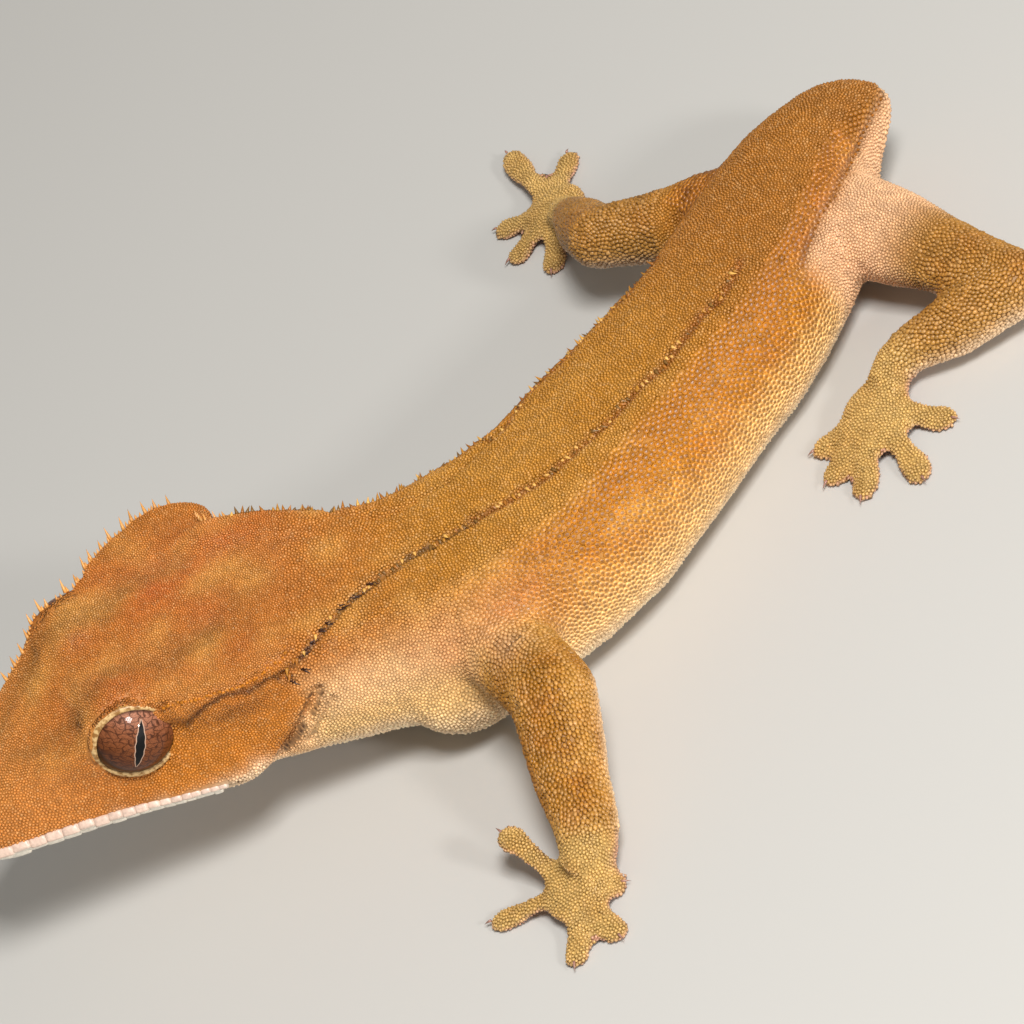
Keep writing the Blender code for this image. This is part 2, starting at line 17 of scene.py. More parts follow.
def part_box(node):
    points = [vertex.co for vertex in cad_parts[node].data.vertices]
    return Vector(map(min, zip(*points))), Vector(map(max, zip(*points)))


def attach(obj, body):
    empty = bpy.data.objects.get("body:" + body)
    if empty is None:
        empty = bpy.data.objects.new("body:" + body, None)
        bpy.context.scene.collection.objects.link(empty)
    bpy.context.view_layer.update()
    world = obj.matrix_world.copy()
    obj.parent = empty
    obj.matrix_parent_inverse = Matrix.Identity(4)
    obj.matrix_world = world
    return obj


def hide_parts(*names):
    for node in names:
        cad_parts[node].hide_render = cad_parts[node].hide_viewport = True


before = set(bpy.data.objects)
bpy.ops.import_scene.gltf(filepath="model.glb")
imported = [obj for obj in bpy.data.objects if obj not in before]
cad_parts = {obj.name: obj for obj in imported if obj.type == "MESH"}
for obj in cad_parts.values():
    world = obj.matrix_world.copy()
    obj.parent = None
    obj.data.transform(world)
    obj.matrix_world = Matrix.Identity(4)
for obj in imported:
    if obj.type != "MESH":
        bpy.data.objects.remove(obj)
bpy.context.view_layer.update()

MM = 0.001

# %% [markdown]
# ## Lines to measure by
# A lizard is a body and four legs wound along smooth lines. A point on the skin is told by which
# line it belongs to, how far along it lies and at which bearing round it. The lines repeat the
# solids' own, in millimetres from the point under the shoulders. `placed` brings such a point to
# the frame.

# %% The lines
ZERO = np.array((6.96, 2.99, 0.0))
HEAD_LINE = [
    (-5.5, -53.0, 17.2), (-5.2, -46.0, 18.2), (-4.7, -36.0, 18.6), (-4.0, -27.0, 17.6), (-3.4, -20.5, 16.2),
]
BODY_LINE = [
    (-4.0, -26.5, 15.6), (-1.6, -20.5, 14.0), (0.8, -15.5, 12.1), (3.0, -10.0, 10.3), (4.5, -4.0, 9.0),
    (4.2, 3.0, 7.9), (1.8, 10.0, 7.2), (-0.4, 17.0, 6.9), (-1.8, 22.0, 6.8), (-7.0, 32.0, 7.0),
    (-10.2, 37.0, 7.4), (-11.5, 42.0, 7.9), (-11.0, 47.0, 8.5),
]
BODY_STARTS_AT = 26.6
LIMBS = {
    "left_arm": [(7.5, -8.0, 9.2), (22.1, -7.0, 9.2), (32.5, -13.2, 3.0), (33.0, -15.6, 1.35)],
    "right_arm": [(0.5, -7.0, 8.6), (-11.6, -4.6, 5.2), (-14.8, -15.0, 3.0), (-15.6, -18.0, 1.35)],
    "left_leg": [(-5.5, 36.4, 6.6), (15.4, 42.6, 4.2), (11.0, 31.2, 2.6), (12.0, 27.8, 1.4)],
    "right_leg": [(-9.0, 34.5, 7.4), (-22.8, 21.2, 8.2), (-36.0, 21.2, 3.0), (-40.4, 20.8, 1.4)],
}
TOE_TIPS = {
    "left_arm": [
        (24.6, -17.4, 4.2), (27.7, -22.9, 0.35), (38.8, -19.6, 0.35), (39.9, -15.3, 0.35),
        (35.2, -12.2, 0.35),
    ],
    "right_arm": [
        (-10.6, -21.0, 0.35), (-13.6, -25.0, 0.35), (-18.2, -25.4, 0.35), (-22.2, -22.2, 0.35),
        (-22.6, -17.2, 0.35),
    ],
    "left_leg": [
        (9.8, 21.4, 0.35), (14.2, 20.4, 0.35), (18.8, 21.6, 0.35), (22.2, 26.4, 0.35), (19.0, 31.8, 0.35),
    ],
    "right_leg": [
        (-34.6, 16.6, 0.35), (-40.6, 14.4, 0.35), (-46.0, 15.6, 0.35), (-53.8, 21.4, 0.8),
        (-47.8, 25.5, 0.35),
    ],
}
HEAD_ROLL = math.radians(14.0)
ROLL_ENDS_AT = 25.0


def placed(points):
    """Layout millimetres to the frame's metres."""
    return (np.asarray(points, float) + ZERO) * MM


def laid_out(points):
    """The frame's metres to layout millimetres."""
    return np.asarray(points, float) / MM - ZERO


def smooth_line(points, count=80):
    """Places at equal steps along a smooth curve through the points, and the length at each."""
    points = np.array(points, float)
    knots = np.concatenate([[0.0], np.cumsum(np.linalg.norm(np.diff(points, axis=0), axis=1))])
    slopes = np.gradient(points, knots, axis=0)
    fine = np.linspace(0.0, knots[-1], 600)
    k = np.clip(np.searchsorted(knots, fine, side="right") - 1, 0, len(knots) - 2)
    w = (knots[k + 1] - knots[k])[:, None]
    t = (fine - knots[k])[:, None] / w
    places = (
        (2 * t**3 - 3 * t**2 + 1) * points[k] + (t**3 - 2 * t**2 + t) * w * slopes[k]
        + (3 * t**2 - 2 * t**3) * points[k + 1] + (t**3 - t**2) * w * slopes[k + 1]
    )
    length = np.concatenate([[0.0], np.cumsum(np.linalg.norm(np.diff(places, axis=0), axis=1))])
    even = np.linspace(0.0, length[-1], count)
    return np.stack([np.interp(even, length, places[:, a]) for a in range(3)], axis=1), even


def unit(vectors):
    """The same vectors, each with a length of one."""
    vectors = np.asarray(vectors, float)
    return vectors / (np.linalg.norm(vectors, axis=-1, keepdims=True) + 1e-12)


def frames_of(points, roll):
    """Along a line: places, distances, forward, left and up; roll is a function of distance."""
    places, s = smooth_line(points)
    forward = unit(np.gradient(places, axis=0))
    side = unit(np.cross(forward, (0.0, 0.0, 1.0)))
    up = np.cross(side, forward)
    turn = np.array([roll(v) for v in s])[:, None]
    left = side * np.cos(turn) - up * np.sin(turn)
    return places, s, forward, left, up * np.cos(turn) + side * np.sin(turn)


def eased(v):
    """From 0 to 1 with a soft start and a soft end."""
    v = np.clip(v, 0.0, 1.0)
    return v * v * (3.0 - 2.0 * v)


AXES = {
    "head": frames_of(HEAD_LINE, lambda s: HEAD_ROLL),
    "body": frames_of(BODY_LINE, lambda s: HEAD_ROLL * (1.0 - eased(s / ROLL_ENDS_AT))),
}
for limb, points in LIMBS.items():
    AXES[limb] = frames_of(points, lambda s: 0.0)
print("lines:", {name: round(float(axis[1][-1]), 1) for name, axis in AXES.items()}, "mm long")

# %% [markdown]
# ## The camera
# The photograph looks down on the animal's left side from 36 degrees above the floor, with the
# picture turned so that the body runs from lower left to upper right. The camera comes early, as
# places read off the picture are later cast onto the skin from here.

# %% Set the camera as the photograph's
TARGET = placed((-4.263, 0.0, 5.865))
DISTANCE_MM, PIXELS_PER_MM, PICTURE, SENSOR = 430.0, 12.0, 1024, 36.0
toward = np.array((0.809, 0.0, 0.588))
down_hill = np.array((0.588, 0.0, -0.809))
tailward = np.array((0.0, 1.0, 0.0))
picture_right = unit(0.75 * tailward + 0.66 * down_hill)
picture_up = -unit(0.75 * down_hill - 0.66 * tailward)

camera_data = bpy.data.cameras.new("camera")
camera = bpy.data.objects.new("camera", camera_data)
bpy.context.scene.collection.objects.link(camera)
bpy.context.scene.camera = camera
camera_data.sensor_width = SENSOR
camera_data.lens = DISTANCE_MM * PIXELS_PER_MM / PICTURE * SENSOR
camera_data.clip_start = 0.01
camera_place = TARGET + toward * DISTANCE_MM * MM
turn = Matrix([picture_right, picture_up, toward]).transposed().to_4x4()
camera.matrix_world = Matrix.Translation(camera_place) @ turn


def sight(x, y):
    """The direction from the camera through a pixel of the picture."""
    across = (x - PICTURE / 2) / PIXELS_PER_MM
    rise = (PICTURE / 2 - y) / PIXELS_PER_MM
    return unit(picture_right * across + picture_up * rise - toward * DISTANCE_MM)


print("camera lens", round(camera_data.lens, 1), "mm")

# %% [markdown]
# ## One skin from the pieces of flesh
# The solids are parted by thin gaps. Copies of them are joined, swelled until the gaps close,
# remeshed into one surface and shrunk back, to lie inside the solids by the depth of the coat.
# That is quicker than modelling the skin anew, and it keeps the solids' outline.

# %% Melt the pieces into one skin
EYES = ("left_eye", "right_eye")
flesh = [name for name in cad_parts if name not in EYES]
SWELL, COAT, SKIN_VOXEL = 0.30 * MM, 0.20 * MM, 0.36 * MM


def alone(thing):
    """Selects one object and makes it active."""
    bpy.ops.object.select_all(action="DESELECT")
    thing.select_set(True)
    bpy.context.view_layer.objects.active = thing


def modified(thing, kind, **settings):
    """Adds a modifier and applies it."""
    alone(thing)
    modifier = thing.modifiers.new(kind.lower(), kind)
    for key, value in settings.items():
        setattr(modifier, key, value)
    bpy.ops.object.modifier_apply(modifier=modifier.name)
    return thing


bpy.ops.object.select_all(action="DESELECT")
for name in flesh:
    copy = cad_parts[name].copy()
    copy.data = copy.data.copy()
    bpy.context.scene.collection.objects.link(copy)
    copy.matrix_world = Matrix.Identity(4)
    copy.parent = None
    copy.select_set(True)
    bpy.context.view_layer.objects.active = copy
bpy.ops.object.join()
skin = bpy.context.view_layer.objects.active
skin.name = "skin"
skin.data.materials.clear()
modified(skin, "WELD", merge_threshold=0.001 * MM)
modified(skin, "DISPLACE", strength=SWELL, mid_level=0.0)
modified(skin, "REMESH", mode="VOXEL", voxel_size=SKIN_VOXEL)
modified(skin, "SMOOTH", factor=0.5, iterations=6)
modified(skin, "DISPLACE", strength=-(SWELL + COAT) * 0.93, mid_level=0.0)
modified(skin, "SMOOTH", factor=0.5, iterations=2)
print("skin:", len(skin.data.vertices), "vertices")

# %% [markdown]
# ## Where a point lies on the animal
# Every later step asks the same thing of a point: which piece it belongs to, how far along its
# line it is, and at which bearing round it. The nearest solid gives the piece.

# %% Find a point's piece, distance and bearing
LABELS = sorted(flesh)
labelled = KDTree(sum(len(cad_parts[n].data.vertices) for n in flesh))
label_of_vertex = []
for number, name in enumerate(LABELS):
    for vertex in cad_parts[name].data.vertices:
        labelled.insert(vertex.co, len(label_of_vertex))
        label_of_vertex.append(number)
labelled.balance()
label_of_vertex = np.array(label_of_vertex)
LIMB_OF = {"upper_arm": "arm", "forearm": "arm", "hand": "arm", "thigh": "leg", "shank": "leg", "foot": "leg"}


def axis_of(label):
    """The name of the line along which a piece of the body is laid out."""
    side, _, piece = label.partition("_")
    if piece in LIMB_OF:
        return f"{side}_{LIMB_OF[piece]}"
    return "head" if label in ("head", "lower_jaw") else "body"


class Site:
    """Points on the animal, with all that the coat and the markings need to know of them."""

    def __init__(self, points):
        self.points = np.asarray(points, float)
        self.layout = laid_out(self.points)
        self.label = label_of_vertex[[labelled.find(p)[1] for p in self.points]]
        count = len(self.points)
        self.axis = np.array([axis_of(LABELS[k]) for k in self.label])
        self.s, self.out, self.rise = np.zeros(count), np.zeros(count), np.zeros(count)
        self.forward = np.zeros((count, 3))
        for name, (places, s, forward, left, up) in AXES.items():
            mine = np.flatnonzero(self.axis == name)
            if not len(mine):
                continue
            gaps = self.layout[mine][:, None, :] - places[None]
            near = np.argmin((gaps**2).sum(axis=2), axis=1)
            gap = self.layout[mine] - places[near]
            start = BODY_STARTS_AT if name == "body" else 0.0
            self.s[mine] = s[near] + (gap * forward[near]).sum(axis=1) + start
            self.out[mine] = (gap * left[near]).sum(axis=1)
            self.rise[mine] = (gap * up[near]).sum(axis=1)
            self.forward[mine] = forward[near]
        self.bearing = np.degrees(np.arctan2(self.rise, np.abs(self.out)))

    def on(self, *names):
        """Which points lie on the named pieces."""
        wanted = [k for k, n in enumerate(LABELS) if n in names or n.split("_", 1)[-1] in names]
        return np.isin(self.label, wanted)


def read_mesh(thing):
    """Vertex places and normals as arrays."""
    count = len(thing.data.vertices)
    places, normals = np.empty(count * 3), np.empty(count * 3)
    thing.data.vertices.foreach_get("co", places)
    thing.data.vertex_normals.foreach_get("vector", normals)
    return places.reshape(-1, 3), normals.reshape(-1, 3)


def surface_of(thing):
    """An object's surface as it stands now, for rays and nearest places."""
    graph = bpy.context.evaluated_depsgraph_get()
    return BVHTree.FromObject(thing, graph)


surface = surface_of(skin)
eye_middles = {name: np.mean(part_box(name), axis=0) for name in EYES}
EYE_RADIUS = (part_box("left_eye")[1][0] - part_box("left_eye")[0][0]) / 2 / MM
print("eye radius", round(EYE_RADIUS, 2), "mm; pieces", len(LABELS))

# %% [markdown]
# ## The openings of the lids
# The lids of a gecko don't move. They frame the eye in an opening nearly as long as the ball is
# wide. The photograph shows it as an oval, so the oval is cast onto the ball, which gives for each
# bearing round the line of sight how far the opening reaches. The other eye gets its mirror image.

# %% Measure the opening
OPENING_MIDDLE, OPENING_HALF = (140.3, 746.6), (43.6, 36.6)
STEPS_ROUND = 96
head_places, head_s, _, head_left, head_up = AXES["head"]
EYE_AT = 18.8
eye_row = int(np.argmin(np.abs(head_s - EYE_AT)))
head_sideways = head_left[eye_row]


def on_ball(middle, x, y):
    """Where the sight through a pixel first meets an eyeball."""
    way = sight(x, y)
    gap = camera_place - middle
    along = gap @ way
    inside = along**2 - (gap @ gap - (EYE_RADIUS * MM) ** 2)
    return camera_place + way * (-along - math.sqrt(max(inside, 0.0)))


def across_head(vector):
    """A direction mirrored to the head's other side."""
    return vector - 2 * (vector @ head_sideways) * head_sideways


left_middle = eye_middles["left_eye"]
gaze = unit(on_ball(left_middle, *OPENING_MIDDLE) - left_middle)
eye_up = unit(picture_up - (picture_up @ gaze) * gaze)
eye_side = np.cross(eye_up, gaze)
LOOKS = {
    "left_eye": (eye_side, eye_up, gaze),
    "right_eye": tuple(across_head(v) for v in (eye_side, eye_up, gaze)),
}
edge_angles, edge_tilts = [], []
for turn_round in np.linspace(0, 2 * np.pi, STEPS_ROUND, endpoint=False):
    x = OPENING_MIDDLE[0] + OPENING_HALF[0] * math.cos(turn_round)
    y = OPENING_MIDDLE[1] - OPENING_HALF[1] * math.sin(turn_round)
    way = unit(on_ball(left_middle, x, y) - left_middle)
    edge_angles.append(math.atan2(way @ eye_up, way @ eye_side))
    edge_tilts.append(math.acos(way @ gaze))
order = np.argsort(edge_angles)
edge_angles, edge_tilts = np.array(edge_angles)[order], np.array(edge_tilts)[order]


def opening_tilt(angle):
    """How far from the line of sight the opening reaches at a bearing round it, in radians."""
    return np.interp(angle, edge_angles, edge_tilts, period=2 * np.pi)


print("opening reaches", np.degrees([edge_tilts.min(), edge_tilts.max()]).round(), "degrees")

# %% [markdown]
# ## Folds, slits and ridges
# The photograph shows a slit behind the jaw, a second fold on the throat, the valley between the
# brow and the top of the head, a long fold from the crest back along each side, and the groin's
# crease. Sculpting by hand would lose their places, so each is drawn as a line of pixels, cast
# onto the skin from the camera, and mirrored to the side that doesn't show. The two creases of
# the arm stay on the side that shows, as the other arm lies differently.

# %% Cast the lines onto the skin


def nearest_on_skin(point):
    """The place on the skin that is nearest to a point."""
    return np.array(surface.find_nearest(Vector(point))[0])


def cast(pixels):
    """The places on the skin under pixels of the photograph."""
    found = []
    for x, y in pixels:
        hit = surface.ray_cast(Vector(camera_place), Vector(sight(x, y)))[0]
        if hit is not None:
            found.append(np.array(hit))
    return np.array(found)


FAR_LEAN = math.radians(17.0)


def mirrored(points):
    """The same places on the animal's other side, where the body leans over by a few degrees."""
    site = Site(points)
    other = []
    for k in range(len(site.points)):
        on_head = site.axis[k] == "head"
        places, s, forward, left, up = AXES["head" if on_head else "body"]
        at = site.s[k] - (0.0 if on_head else BODY_STARTS_AT)
        parts = (places, left, up)
        place, across, above = (np.array([np.interp(at, s, a[:, i]) for i in range(3)]) for a in parts)
        lean = 0.0 if on_head or site.rise[k] < 0 else FAR_LEAN
        out = site.out[k] * math.cos(lean) + site.rise[k] * math.sin(lean)
        rise = site.rise[k] * math.cos(lean) - site.out[k] * math.sin(lean)
        other.append(nearest_on_skin(placed(place - out * across + rise * above)))
    return np.array(other)


def dense(points, step=0.25 * MM):
    """Points joined by straight steps."""
    length = np.concatenate([[0.0], np.cumsum(np.linalg.norm(np.diff(points, axis=0), axis=1))])
    even = np.linspace(0.0, length[-1], max(2, int(length[-1] / step)))
    return np.stack([np.interp(even, length, points[:, a]) for a in range(3)], axis=1)


def both_sides(pixels):
    """A drawn line laid on the skin, and its mirror image."""
    line = cast(pixels)
    return [dense(line), dense(mirrored(line))]


DRAWN = {
    "jaw slit": [(318, 690), (313, 704), (306, 718), (297, 733), (288, 746), (281, 754)],
    "throat fold": [(332, 698), (327, 712), (319, 726), (310, 740)],
    "brow valley": [
        (72, 722), (80, 704), (92, 686), (110, 672), (134, 663), (160, 662), (186, 645), (212, 628),
    ],
    "snout valley": [(6, 757), (24, 752), (42, 745), (58, 732), (68, 722)],
    "temple": [(186, 727), (204, 711), (222, 699), (250, 690), (287, 677)],
    "nape fold": [
        (287, 677), (301, 657), (318, 635), (345, 604), (378, 578), (410, 555), (430, 545), (470, 520),
    ],
    "side fold": [
        (470, 520), (515, 495), (551, 471), (607, 422), (638, 386), (663, 366), (699, 315), (718, 301),
        (739, 263),
    ],
    "hip edge": [
        (803, 264), (807, 250), (812, 240), (820, 216), (834, 196), (847, 170), (860, 148), (871, 121),
        (882, 98),
    ],
    "armpit": [(506, 650), (518, 636)],
    "under arm": [(497, 728), (508, 716), (516, 706)],
}
LINES = {name: both_sides(pixels) for name, pixels in DRAWN.items()}
for name in ("armpit", "under arm"):
    LINES[name] = LINES[name][:1]
# The lip's line: distance along the head, out and up, in mm.
lip_rows = np.array([
    (0.4, 1.5, -0.7), (1.0, 2.3, -1.0), (1.9, 3.1, -1.4), (3.5, 4.1, -1.9), (6.5, 5.3, -2.6),
    (10.0, 6.8, -3.3), (14.0, 8.3, -4.1), (19.0, 10.1, -4.9), (25.0, 11.6, -5.2),
])


def at_head(s, out, rise):
    """A place by its distance along the head, outwards and up, and the head's two directions there."""
    place, across, above = (np.array([np.interp(s, head_s, a[:, i]) for i in range(3)])
                            for a in (head_places, head_left, head_up))
    return placed(place + out * across + rise * above), across, above


def along_lip(sign, over, first, last, step):
    """Places on the skin along the lip of one side, at a height over its line."""
    row = []
    for s in np.arange(first, last, step):
        out, rise = (np.interp(s, lip_rows[:, 0], lip_rows[:, k]) for k in (1, 2))
        row.append(nearest_on_skin(at_head(s, sign * out, rise + over)[0]))
    return np.array(row)


LINES["mouth"] = [along_lip(sign, -0.1, 0.4, 24.0, 0.25) for sign in (1, -1)]
NOSTRIL_AT, NOSTRIL_OUT, NOSTRIL_UP = 1.9, 2.4, 0.5
nostrils = [at_head(NOSTRIL_AT, sign * NOSTRIL_OUT, NOSTRIL_UP)[0] for sign in (1, -1)]
LINES["nostril"] = [nearest_on_skin(place)[None] for place in nostrils]
print("lines on the skin:", {name: len(pair[0]) for name, pair in LINES.items()})


REACH_MM, AT_ONCE = 4.0, 20000


def distance_to(points, lines):
    """Each point's distance in mm to the nearest of several dense lines, as far as it matters."""
    best = np.full(len(points), 1e9)
    for line in lines:
        low, high = line.min(axis=0) - REACH_MM * MM, line.max(axis=0) + REACH_MM * MM
        close = np.flatnonzero(((points > low) & (points < high)).all(axis=1))
        for start in range(0, len(close), AT_ONCE):
            part = close[start:start + AT_ONCE]
            gap = np.sqrt(((points[part][:, None] - line[None]) ** 2).sum(axis=2)).min(axis=1) / MM
            best[part] = np.minimum(best[part], gap)
    return best


def bump_near(points, name, width):
    """1 on a drawn line, falling smoothly to 0 over the width in mm."""
    return np.exp(-((distance_to(points, LINES[name]) / width) ** 2))


# %% Press the folds into the skin
# Each fold's half width and depth in mm.
FOLDS = [
    ("jaw slit", 0.45, -0.9), ("throat fold", 0.4, -0.45), ("brow valley", 1.5, -0.3),
    ("snout valley", 1.2, -0.4), ("temple", 0.6, -0.35), ("nape fold", 0.5, -0.45),
    ("side fold", 0.5, -0.4), ("mouth", 0.4, -0.3), ("hip edge", 0.6, -0.35), ("armpit", 0.35, -0.4),
    ("under arm", 0.5, -0.3), ("nostril", 0.38, -0.6),
]
places, normals = read_mesh(skin)
push = sum(depth * bump_near(places, name, width) for name, width, depth in FOLDS)
WRINKLE_MM, WRINKLE_DEPTH = 4.5, 0.12
wrinkle = np.array([noise.noise(Vector(p) / (WRINKLE_MM * MM)) for p in places])
site = Site(places)
push += WRINKLE_DEPTH * wrinkle * site.on("neck", "trunk", "tail_stub", "thigh", "upper_arm", "head")
places += normals * (push * MM)[:, None]
places[:, 2] = np.maximum(places[:, 2], 0.05 * MM)
print("deepest fold", round(-float(push.min()), 2), "mm")

# %% [markdown]
# ## The skin round the eyes
# Inside the opening the skin has to make way for the ball. A boolean cut would leave a rough edge,
# so the skin inside the opening is drawn in under the ball's surface, and the skin outside it is
# lifted to lie on the ball as a thin lid.

# %% Open the lids
LID_STEP, TUCK, COVER = math.radians(2.0), 0.3, 0.2
LID_WIDTH = 0.36


def lid_width(angle):
    """Half the pale rim's width: widest in front and below, narrow behind and above."""
    return LID_WIDTH * (0.72 - 0.28 * np.cos(angle - 0.6))


def by_eye(points, name):
    """Distance in mm from an eye's middle, tilt from its line of sight and bearing round it."""
    side, up, gaze = LOOKS[name]
    gap = points - eye_middles[name]
    size = np.linalg.norm(gap, axis=1)
    way = gap / size[:, None]
    return size / MM, np.arccos(np.clip(way @ gaze, -1, 1)), np.arctan2(way @ up, way @ side)


for name in EYES:
    size, tilt, angle = by_eye(places, name)
    within = (size < EYE_RADIUS + 2.0) & (tilt < opening_tilt(angle) + LID_STEP) & (size > EYE_RADIUS - TUCK)
    gap = places[within] - eye_middles[name]
    places[within] = eye_middles[name] + gap * ((EYE_RADIUS - TUCK) / size[within])[:, None]
    thin = (size < EYE_RADIUS + COVER) & (tilt >= opening_tilt(angle) + LID_STEP)
    gap = places[thin] - eye_middles[name]
    places[thin] = eye_middles[name] + gap * ((EYE_RADIUS + COVER) / size[thin])[:, None]
    print(name, "opening took", int(within.sum()), "vertices")
skin.data.vertices.foreach_set("co", places.ravel())
skin.data.update()
surface = surface_of(skin)
for name, pair in LINES.items():
    LINES[name] = [np.array([nearest_on_skin(p) for p in line]) for line in pair]

# %% [markdown]
# ## The fold on the far side
# On the far side the same fold is the animal's outline, with its small teeth against the
# background. The mirrored line would miss the outline by a little, so the fold is laid where the
# back turns away from the camera.

# %% Lay the far fold along the outline


def far_outline(first, last, step):
    """Places where the back turns away from the camera, from one distance along it to another."""
    places, normals = read_mesh(skin)
    site = Site(places)
    facing = (normals * unit(np.array(camera_place) - places)).sum(axis=1)
    far = site.on("head", "neck", "trunk") & (site.out < 0) & (site.rise > 0)
    found = []
    for s in np.arange(first, last, step):
        near = np.flatnonzero(far & (np.abs(site.s - s) < 0.5))
        found.append(places[near[np.argmin(np.abs(facing[near]))]])
    return dense(np.array(found))


NAPE_AT, SIDE_AT, HIP_AT = 34.0, 51.6, 84.0
LINES["nape fold"][1] = far_outline(NAPE_AT, SIDE_AT, 1.2)
LINES["side fold"][1] = far_outline(SIDE_AT, HIP_AT, 1.2)
print("far fold:", len(LINES["nape fold"][1]) + len(LINES["side fold"][1]), "places")

# %% [markdown]
# ## Markings
# Skin and scales take their colours from one painted ground, so that they agree. It lays a few
# named tints over each other by place: ochre flanks, a browner back, red patches on the head and
# below the fold, cream on the throat, belly and groin. The tints are then blurred over the skin,
# because a real lizard's blend, and painted shade is drawn over them as dark lines in the folds,
# slits and creases.

# %% The tints and the marking function


def linear(hex_colour):
    """An sRGB hex colour as linear light."""
    value = np.array([int(hex_colour[k:k + 2], 16) / 255 for k in (1, 3, 5)])
    return np.where(value <= 0.04045, value / 12.92, ((value + 0.055) / 1.055) ** 2.4)


TINT = {name: linear(value) for name, value in {
    "flank": "#b97b20", "back": "#b07828", "hips": "#a26520", "head": "#b56e28", "red": "#bf5a24",
    "snout": "#c67f38", "cheek": "#bf7620", "temple": "#9a5c20", "throat": "#f0cfa8", "belly": "#f0d4ae",
    "low flank": "#dfb573", "neck": "#e6b985", "arm": "#9e6a20", "hand": "#c8a15c", "thigh": "#a57632",
    "groin": "#e0b084", "pad": "#c99480", "dark": "#35190a", "dusk": "#7d5826", "rust": "#a9511c",
    "lip": "#f3ead9", "lip top": "#cfb4a2", "stub": "#9c6424", "fleck": "#e0b276", "pale": "#d9a552",
    "spine": "#cf9048", "scale core": "#84450f",
}.items()}


def blotches(points, size_mm, seed, low=-0.1, high=0.35):
    """Soft patches of about a size, from 0 to 1."""
    shift = Vector((seed * 7.3, seed * 3.1, seed * 5.7))
    scale = 1.0 / (size_mm * MM)
    value = np.array([noise.noise(Vector(p) * scale + shift) for p in points])
    return eased((value - low) / (high - low))


def between(value, low, high):
    """0 below low, 1 above high, smooth in between."""
    return eased((value - low) / (high - low))


def mixed(base, tint, amount):
    """Each colour drawn towards a tint by its own amount from 0 to 1."""
    return base + (TINT[tint] - base) * np.clip(amount, 0.0, 1.0)[:, None]


hip_edge = Site(LINES["hip edge"][0])
hip_order = np.argsort(hip_edge.s)
slit = Site(LINES["jaw slit"][0])
slit_order = np.argsort(slit.bearing)


def behind_jaw(site):
    """1 behind the slit that runs down from the temple to the jaw's corner."""
    limit = np.interp(site.bearing, slit.bearing[slit_order], slit.s[slit_order])
    return between(site.s - limit, -0.2, 0.4)


def past_hip_edge(site):
    """1 below the ridge that bounds the hips, where the skin is bare and pale."""
    starts = hip_edge.s.min()
    limit = np.interp(site.s, hip_edge.s[hip_order], hip_edge.bearing[hip_order])
    return between(limit - site.bearing, -1.0, 3.0) * between(site.s, starts - 1.5, starts + 1.5)


# Single spots: the pixel each is seen at, its half width in mm, its tint and strength.
SPOTS = [
    ((498, 536), 0.4, "rust", 0.8), ((446, 646), 1.8, "red", 0.35), ((510, 616), 1.3, "red", 0.35),
    ((528, 590), 1.0, "red", 0.3), ((574, 715), 0.3, "dark", 0.7), ((508, 645), 1.8, "groin", 0.7),
    ((150, 590), 3.2, "red", 0.45), ((205, 608), 2.2, "red", 0.4), ((165, 560), 2.0, "red", 0.3),
    ((85, 640), 1.8, "red", 0.2), ((240, 700), 1.2, "rust", 0.2), ((350, 662), 0.5, "rust", 0.5),
]
SPOT_PLACES = [cast([pixel]) for pixel, *_ in SPOTS]
# The pixels between which the bare groin passes over to the scaly thigh.
THIGH_FROM, THIGH_TO = (868, 240), (928, 240)
hip, knee = (placed(np.array(LIMBS["left_leg"][k])) for k in (0, 1))
leg_way = unit(knee - hip)
thigh_from, thigh_to = ((cast([pixel])[0] - hip) @ leg_way for pixel in (THIGH_FROM, THIGH_TO))


